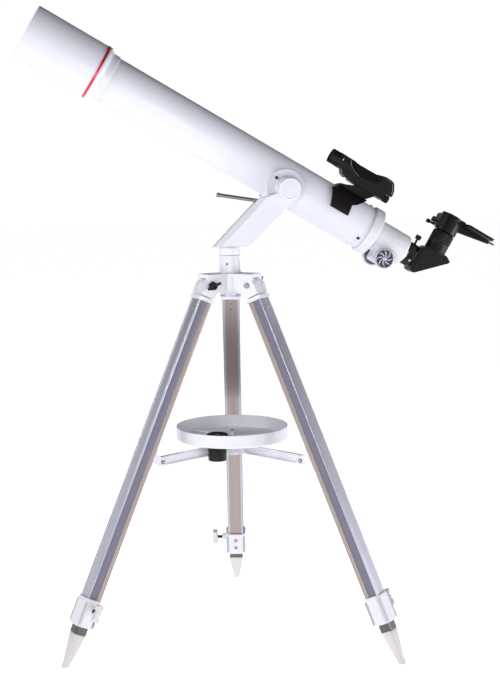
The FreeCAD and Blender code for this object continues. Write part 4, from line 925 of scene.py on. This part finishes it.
def foot(side, place):
    """Foot that tapers from the rail's own outline to a rounded end, cut level by the floor."""
    tip = reach(f"foot_tip_{side}", place)[0].z
    rail_low, rail_high = reach(f"inner_rail_{side}", place)
    shoulder = rail_low.z
    wide, deep = rail_high.x + 0.5, rail_high.y + 0.5
    neck = tip + 15

    def eight(half, other, level):
        corners = octagon(half, other, 0.3 * other)
        return [(x, y, level) for x, y in rounded(corners[1:] + corners[:1], 0.8, 4)]

    body = lofted([eight(*ring) for ring in (
        (wide - 0.8, deep - 0.8, shoulder), (wide, deep, shoulder - 0.8),
        (wide - 0.1, deep - 0.1, shoulder - 5), (6.5, 6.2, neck), (6.0, 5.7, neck - 0.8),
        (5.7, 5.5, tip + 5), (5.3, 5.1, tip + 1), (4.6, 4.5, tip - 1.5), (3.6, 3.6, tip - 3),
    )])
    bmesh.ops.recalc_face_normals(body, faces=body.faces)
    ground = (place.inverted() @ Vector((0, 0, 0))) / MM
    normal = place.inverted().to_3x3() @ Vector((0, 0, 1))
    everything = body.verts[:] + body.edges[:] + body.faces[:]
    bmesh.ops.bisect_plane(
        body, geom=everything, plane_co=ground, plane_no=normal, clear_inner=True
    )
    rim = [edge for edge in body.edges if edge.is_boundary]
    bmesh.ops.contextual_create(body, geom=rim)
    add(f"foot_{side}", body, f"lower_leg_{side}", "light", place, (f"foot_tip_{side}",), sharp=50)


def bracket(side, place):
    refined(f"spreader_bracket_{side}", "white", place, 0.7)
    low, high = reach(f"spreader_bracket_{side}", place)
    level = (low.z + high.z) / 2
    pivot = low.y + 7
    spots = [at(8.5, pivot, level, TURN_X), at(-8.5, pivot, level, TURN_BACK_X)]
    add_heads(f"bracket_screws_{side}", 3.6, 1.6, spots, f"leg_{side}", "steel", place)


def strut(side):
    """Bar with a flange all round and a recessed web on both faces."""
    place = STRUTS[side]
    high = reach(f"strut_{side}", place)[1]
    half, thick = high.z, high.x
    length = high.y - half
    steps = 14

    def stadium(radius, inset):
        ring = []
        for start, middle in ((math.pi, inset), (0, length - inset)):
            for step in range(steps + 1):
                x, y = polar(radius, start + math.pi * step / steps)
                ring.append((x, middle + y))
        return ring

    inner = stadium(half - 2, 12)
    flange = hollowed(stadium(half, 0), inner, -thick, thick)
    web = extruded([(x * 1.02, y) for x, y in inner], -0.9, 0.9)
    upright = basis(Vector((0, 0, 0)), (0, 0, -1), (0, 1, 0), (1, 0, 0))
    add(f"strut_bar_{side}", merged((flange, upright), (web, upright)), f"strut_{side}", "white",
        place, (f"strut_{side}",), edge=0.5, sharp=50)


# ---- spreader and tray

def spreader():
    refined("spreader_hub", "white", WORLD, 0.7)
    refined("tray", "white", WORLD, 0.7)
    place, radius, _ = standing("tray")
    post = place @ metres_at(0, 0, 13)
    add("tray_screw", cross_head(2.6, 1.4), "spreader", "black_screw", post)
    raised = []
    for angle in (10, 130, 250):
        web = rectangle((radius - 12) / 2, 0.9, (radius + 4) / 2, 0)
        raised.append((extruded(web, 2.4, 4.2, 0.4), spun(angle)))
    bead = [(radius - 9, 2.4), (radius - 6.5, 2.4), (radius - 7, 3.5), (radius - 8.5, 3.5)]
    raised.append((turned(bead, 0.3), WORLD))
    add("tray_ribs", merged(*raised), "spreader", "white", place, edge=0.3)


def spare_eyepiece():
    place, cap_radius, rise = standing("spare_eyepiece")
    radius = 15.85
    cap = rise - 12.4
    barrel = turned([
        (13.2, 0), (15.4, 0), (radius, 0.6), (radius, 26), (15.5, 26.4), (15.5, 28),
        (radius, 28.4), (radius, cap), (13.2, cap),
    ], 0.3)
    add("spare_barrel", barrel, "spare", "black_gloss", place, ("spare_eyepiece",))
    grip = turned([
        (9, cap), (cap_radius, cap), (cap_radius, rise - 3), (cap_radius - 1.5, rise - 0.6),
        (10, rise), (8, rise - 2), (8, cap),
    ], 0.5, ribs(48, 0.3, 16, rise - 3), 288)
    add("spare_grip", grip, "spare", "rubber", place)
    glass = lens_pair((8, rise - 4, rise - 2.5, 0.2, 0.9), (12.5, 3, 5, -0.6, 0.2))
    add("spare_lenses", glass, "spare", "lens", place)


# ---- focuser

def focuser():
    refined("focuser_body", "white", TUBE, 0.6)
    repaint("drawtube", "bright")
    repaint("focus_shaft", "steel")
    low, high = reach("focus_knobs", TUBE)
    middle = (low + high) / 2
    root = 30
    for name, turn, sign in (("near", TURN_BACK_Y, -1), ("far", TURN_Y, 1)):
        spot = TUBE @ metres_at(middle.x, sign * root, middle.z, turn)
        focus_knob(name, spot, (high.x - low.x) / 2, high.y - root)


def focus_knob(name, place, radius, depth):
    """Knurled rim round a dish with eight curved spokes; the dish is painted dark as the shade
    between the spokes.
    """
    rim = turned([
        (radius - 2.6, 4.2), (radius - 0.8, 4.2), (radius, 5.2), (radius, depth - 1.2),
        (radius - 0.8, depth), (radius - 2.6, depth), (radius - 3.2, depth - 1.6),
        (radius - 3.2, 6),
    ], 0.35, notches(40, 0.55, radius - 1.2), 320)
    boss = turned([
        (0, depth - 5), (3.6, depth - 5), (3.6, depth - 1.0), (2.6, depth - 0.4), (0, depth - 0.2),
    ], 0.4, segments=48)
    spokes = [(spoke(radius - 2.9, depth), spun(45 * index)) for index in range(8)]
    stands_for = ("focus_knobs",) if name == "near" else ()
    whole = merged((rim, WORLD), (boss, WORLD), *spokes)
    add(f"focus_rim_{name}", whole, "focus_drive", "silver", place, stands_for, edge=0.25)
    # painted shade: the dish between the spokes is coloured dark
    dish = turned([
        (3.1, 0), (9, 0), (9, 4), (radius - 2.8, 4.2), (radius - 2.8, depth - 3.4),
        (0, depth - 3.4), (0, depth - 5), (3.1, depth - 5),
    ], 0.3)
    add(f"focus_dish_{name}", dish, "focus_drive", "silver_dark", place)


def spoke(outer, depth):
    """One swirling petal from the boss to the rim."""
    steps = 8
    boss = 3.2
    left, right = [], []
    for step in range(steps + 1):
        part = step / steps
        away = boss + (outer - boss) * part
        sweep = math.radians(34) * part ** 1.4
        half = (0.55 + 0.75 * math.sin(math.pi * min(1, part * 1.1))) / away
        left.append(polar(away, sweep + half))
        right.append(polar(away, sweep - half))
    return extruded(left + right[::-1], depth - 4.0, depth - 0.9)


def adapter():
    low, high = reach("eyepiece_adapter", TUBE)
    radius = high.x
    bore = 15.97
    end = low.z
    collar = turned([
        (bore, end), (radius - 1.2, end), (radius - 0.2, end + 1.2), (radius - 0.2, end + 3.0),
        (radius - 0.9, end + 3.3), (radius - 0.9, end + 3.9), (radius, end + 4.2),
        (radius, end + 13.0), (radius - 1, end + 14.5), (18.6, end + 14.5), (18.6, end + 8.5),
        (bore, end + 8.5),
    ], 0.25, ribs(64, 0.35, radius - 0.1), 384)
    add("adapter_collar", collar, "focus_tube", "black_metal", TUBE, ("eyepiece_adapter",))
    low, high = reach("adapter_screw", TUBE)
    station = (low.z + high.z) / 2
    head = 30
    screw = knurled_screw((high.z - low.z) / 2, high.x - head, head - low.x, 2)
    add("adapter_thumbscrew", screw, "adapter_lock", "black_metal", above_axis(head, station),
        ("adapter_screw",))
    small = turned([
        (0, -4), (1.6, -4), (1.6, 0), (2.6, 0.2), (2.6, 2.6), (2.1, 3.1), (0, 3.1),
    ], 0.3, segments=40)
    spot = TUBE @ spun(-118) @ metres_at(radius, 0, station, TURN_X)
    add("adapter_set_screw", small, "focus_tube", "screw", spot)


# ---- diagonal and viewing end

def diagonal():
    refined("diagonal_housing", "black", TUBE, 0.5)
    repaint("diagonal_prism", "glass")
    half = 18.5
    outline = [(-20, -279), (15, -276), (24, -288), (25, -319), (20, -325)]
    covers, spots = [], []
    for sign, turn in ((-1, TURN_BACK_Y), (1, TURN_Y)):
        covers.append((extruded(outline, 0, 0.7, 2.0), side_on(sign, half)))
        for x, z in ((-13, -281.5), (17, -281), (19, -316)):
            spots.append(at(x, sign * (half + 0.65), z, turn))
    add("diagonal_covers", merged(*covers), "diagonal", "black_gloss", TUBE, edge=0.25)
    add_heads("diagonal_screws", 1.5, 0.6, spots, "diagonal", "black_screw", TUBE)
    clip = extruded(rectangle(1.6, 5), 0, 4.5, 0.7)
    spot = above_axis(18.5, reach("diagonal_housing", TUBE)[0].z + 56)
    add("diagonal_clip", clip, "diagonal", "bright", spot, edge=0.4)
    low, high = reach("eyepiece", TUBE)
    socket = high.y + 0.1
    inside, outside = socket - 0.5, socket + 0.4
    ring = turned([(inside, 0), (outside, 0.3), (outside, 2.4), (inside, 2.7)], 0.2)
    spot = above_axis(40.8, (low.z + high.z) / 2)
    add("socket_ring", ring, "diagonal", "black_metal", spot)


def viewing_end():
    low, high = reach("eyepiece", TUBE)
    station = (low.z + high.z) / 2
    radius = high.y
    rise = high.x - low.x
    skirt = 44.3 - low.x
    shoulder = 42
    barrel = 15.85
    body = turned([
        (12.2, 0), (15.5, 0), (barrel, 0.5), (barrel, skirt), (radius - 0.3, skirt),
        (radius - 0.3, skirt + 1.6), (radius, skirt + 2), (radius, shoulder - 1),
        (radius - 1, shoulder), (16, shoulder + 1.5), (16, rise), (13, rise), (10, rise - 3),
        (10, rise - 4), (12.2, rise - 5),
    ], 0.4, ribs(60, 0.22, radius - 0.15), 360)
    place = above_axis(low.x, station)
    add("eyepiece_body", body, "viewing_end", "black", place, ("eyepiece",))
    glass = lens_pair((10, rise - 5.5, rise - 4, 0.1, 1.2), (12, 3, 5.5, -0.8, 0.3))
    add("eyepiece_lenses", glass, "viewing_end", "lens", place)
    phone_adapter(station)


def phone_adapter(station):
    refined("phone_clamp", "black_gloss", TUBE, 0.6)
    refined("phone_plate", "black", TUBE, 0.7)
    bore = 11.4
    ring = turned([(bore, 0), (15.5, 0), (15.5, 1.4), (bore, 1.8)], 0.4)
    top = reach("phone_clamp", TUBE)[1].x - 0.3
    add("camera_ring", ring, "viewing_end", "rubber", above_axis(top, station))
    low, high = reach("phone_plate", TUBE)
    mat = extruded(rectangle((high.z - low.z - 16) / 2, 30), 0, 0.8, 4.0)
    spot = above_axis(high.x, (low.z + 9 + high.z) / 2)
    add("phone_pad", mat, "viewing_end", "rubber", spot, edge=0.2)
    head = reach("phone_screws", TUBE)[1].z - 7
    screws = [
        (knurled_screw(5, 7, 6, 2), at(76, -6, head)),
        (knurled_screw(3.4, 7, 12, 2), at(70, 9, head + 3)),
    ]
    add("clamp_thumbscrews", merged(*screws), "viewing_end", "black_metal", TUBE,
        ("phone_screws",))


# ---- red-dot finder

FINDER_AXIS = 81.0


def finder():
    refined("finder_shoe", "black", TUBE, 0.8)
    refined("finder_body", "black", TUBE, 0.9)
    finder_trim()
    pane = meniscus(11.3, -0.8, 0.8, 0.4, 0.6)
    spot = TUBE @ metres_at(FINDER_AXIS, 0, -58.5)
    add("finder_lens", pane, "tube", "red_glass", spot, ("finder_window",))
    low, high = reach("finder_dial", TUBE)
    top, depth = high.z - low.z, 11.5
    wheel = turned([
        (0, 0), (5.6, 0), (6.6, 0.8), (6.6, depth - 0.8), (6.0, depth), (2.5, depth), (2.5, top),
        (0, top),
    ], 0.3, notches(14, 0.7, 6.2), 196)
    spot = TUBE @ metres_at((low.x + high.x) / 2, 0, low.z)
    add("brightness_dial", wheel, "finder_switch", "rubber", spot, ("finder_dial",))


def finder_trim():
    """Nose band with a light arc of painted highlight, and on each side a panel of painted shade,
    darker black where the side is scooped, with a bead along its edge.
    """
    nose = TUBE @ metres_at(FINDER_AXIS, 0, 0)
    bezel = turned([(13.0, -66.5), (13.5, -66.2), (13.5, -65.0), (13.0, -64.7)], 0.15)
    add("finder_nose_band", bezel, "tube", "black_metal", nose)
    # painted highlight: a light arc across the nose, in a pale moulding finish
    corners = ((12.8, -72.4), (13.6, -72.2), (13.6, -70.8), (12.8, -70.6))
    highlight_arc = [
        [(*polar(away, math.radians(degrees)), z) for away, z in corners]
        for degrees in range(-84, -43, 5)
    ]
    add("finder_nose_highlight", lofted(highlight_arc), "tube", "knob", nose)
    edge = [
        (90.6, -84.5), (87.0, -85.5), (82.5, -89.0), (78.5, -95.0), (75.0, -103.0), (72.6, -111.0),
    ]
    tail = [(94.0, -157.0), (93.8, -166.0), (90.5, -172.0), (83.0, -176.5), (74.0, -178.5)]
    outline = edge + [(73.5, -128), (79.5, -147), (90.5, -152), (89.2, -137), (88.6, -104)]
    # painted shade: a darker flat panel on each side where the body is scooped
    for name, sign in (("near", -1), ("far", 1)):
        panel = merged((extruded(outline, 0, 0.6, 2.0), side_on(sign, 12.4)))
        add(f"finder_panel_{name}", panel, "tube", "jet", TUBE, edge=0.25)
        finder_bead(f"front_{name}", [(x, sign * 13.0, z) for x, z in edge])
        finder_bead(f"tail_{name}", [(x, sign * 12.5, z) for x, z in tail])


def finder_bead(name, route):
    """A thin bright bead along a route on the finder's body."""
    bead = bpy.data.curves.new(f"finder_bead_{name}", "CURVE")
    bead.dimensions = "3D"
    bead.bevel_depth = 0.35 * MM
    bead.bevel_resolution = 3
    bead.use_fill_caps = True
    path = bead.splines.new("NURBS")
    path.points.add(len(route) - 1)
    for point, (x, y, z) in zip(path.points, route):
        point.co = (x * MM, y * MM, z * MM, 1)
    path.order_u = 3
    path.use_endpoint_u = True
    finished(placed(f"finder_bead_{name}", bead, TUBE), "tube", "rod")


# ---- studio

def camera():
    """Near side of the telescope at seated eye height, looking slightly down."""
    data = bpy.data.cameras.new("camera")
    data.sensor_fit = "HORIZONTAL"
    data.sensor_width = 36.0
    data.lens = 99.28
    data.clip_end = 50
    yaw, pitch, roll = math.radians(10.42), math.radians(7.49), -0.0119
    ahead = Vector((
        math.sin(yaw) * math.cos(pitch), math.cos(yaw) * math.cos(pitch), -math.sin(pitch),
    ))
    level = Vector((math.cos(yaw), -math.sin(yaw), 0))
    above = level.cross(ahead)
    right = level * math.cos(roll) + above * math.sin(roll)
    up = above * math.cos(roll) - level * math.sin(roll)
    place = basis(Vector((-0.39256, -2.31721, 0.83563)), right, up, -ahead)
    bpy.context.scene.camera = placed("camera", data, place)


def floor():
    """Pale floor bright enough to match the white studio."""
    bm = bmesh.new()
    bmesh.ops.create_grid(bm, x_segments=24, y_segments=24, size=14)
    mesh = bpy.data.meshes.new("floor")
    bm.to_mesh(mesh)
    bm.free()
    plane = placed("floor", mesh, WORLD)
    mesh.materials.append(surface(
        "pale_floor", (0.95, 0.95, 0.95), 0.8, 300, 0.05, vary=0.004,
        Emission_Color=(1, 1, 1, 1), Emission_Strength=0.92,
    ))


def world():
    """White studio that grows dark overhead and dimmer towards the camera's side."""
    studio_world = bpy.data.worlds.new("studio")
    studio_world.use_nodes = True
    bpy.context.scene.world = studio_world
    tree = studio_world.node_tree
    coords = new_node(tree, "TexCoord")
    parts = new_node(tree, "SeparateXYZ")
    tree.links.new(coords.outputs["Generated"], parts.inputs["Vector"])
    color = ramped(tree, parts.outputs["Z"], (0.12, (1, 1, 1)), (0.30, (0.03, 0.03, 0.04)))
    strength = remapped(tree, parts.outputs["Y"], -1.0, 0.3, 0.62, 1.02)
    background = tree.nodes["Background"]
    tree.links.new(color, background.inputs["Color"])
    tree.links.new(strength, background.inputs["Strength"])


def softbox(name, place, target, size, power):
    """A round lamp aimed at a target, its size in metres and its power in watts."""
    data = bpy.data.lights.new(name, "AREA")
    data.shape = "DISK"
    data.size = size
    data.energy = power
    aim = (Vector(target) - Vector(place)).to_track_quat("-Z", "Y")
    lamp = placed(name, data, Matrix.Translation(place) @ aim.to_matrix().to_4x4())
    lamp.visible_camera = False


def studio():
    camera()
    floor()
    world()
    softbox("left", (-2.8, -0.9, 2.0), (0.1, 0, 0.3), 1.4, 44)
    softbox("right", (1.7, -0.5, 0.35), (0.2, 0, 0.3), 0.9, 14)
    softbox("tripod", (-0.2, -0.85, 0.70), (0, 0, 0.30), 0.3, 3.3)
    bpy.context.scene.view_settings.view_transform = "Standard"


optical_tube()
objective_end()
objective_glass()
rear_end()
altitude_axis()
arm()
tripod_top()
for side in SIDES:
    leg(side)
spreader()
spare_eyepiece()
focuser()
adapter()
diagonal()
viewing_end()
finder()
studio()
bpy.context.view_layer.update()
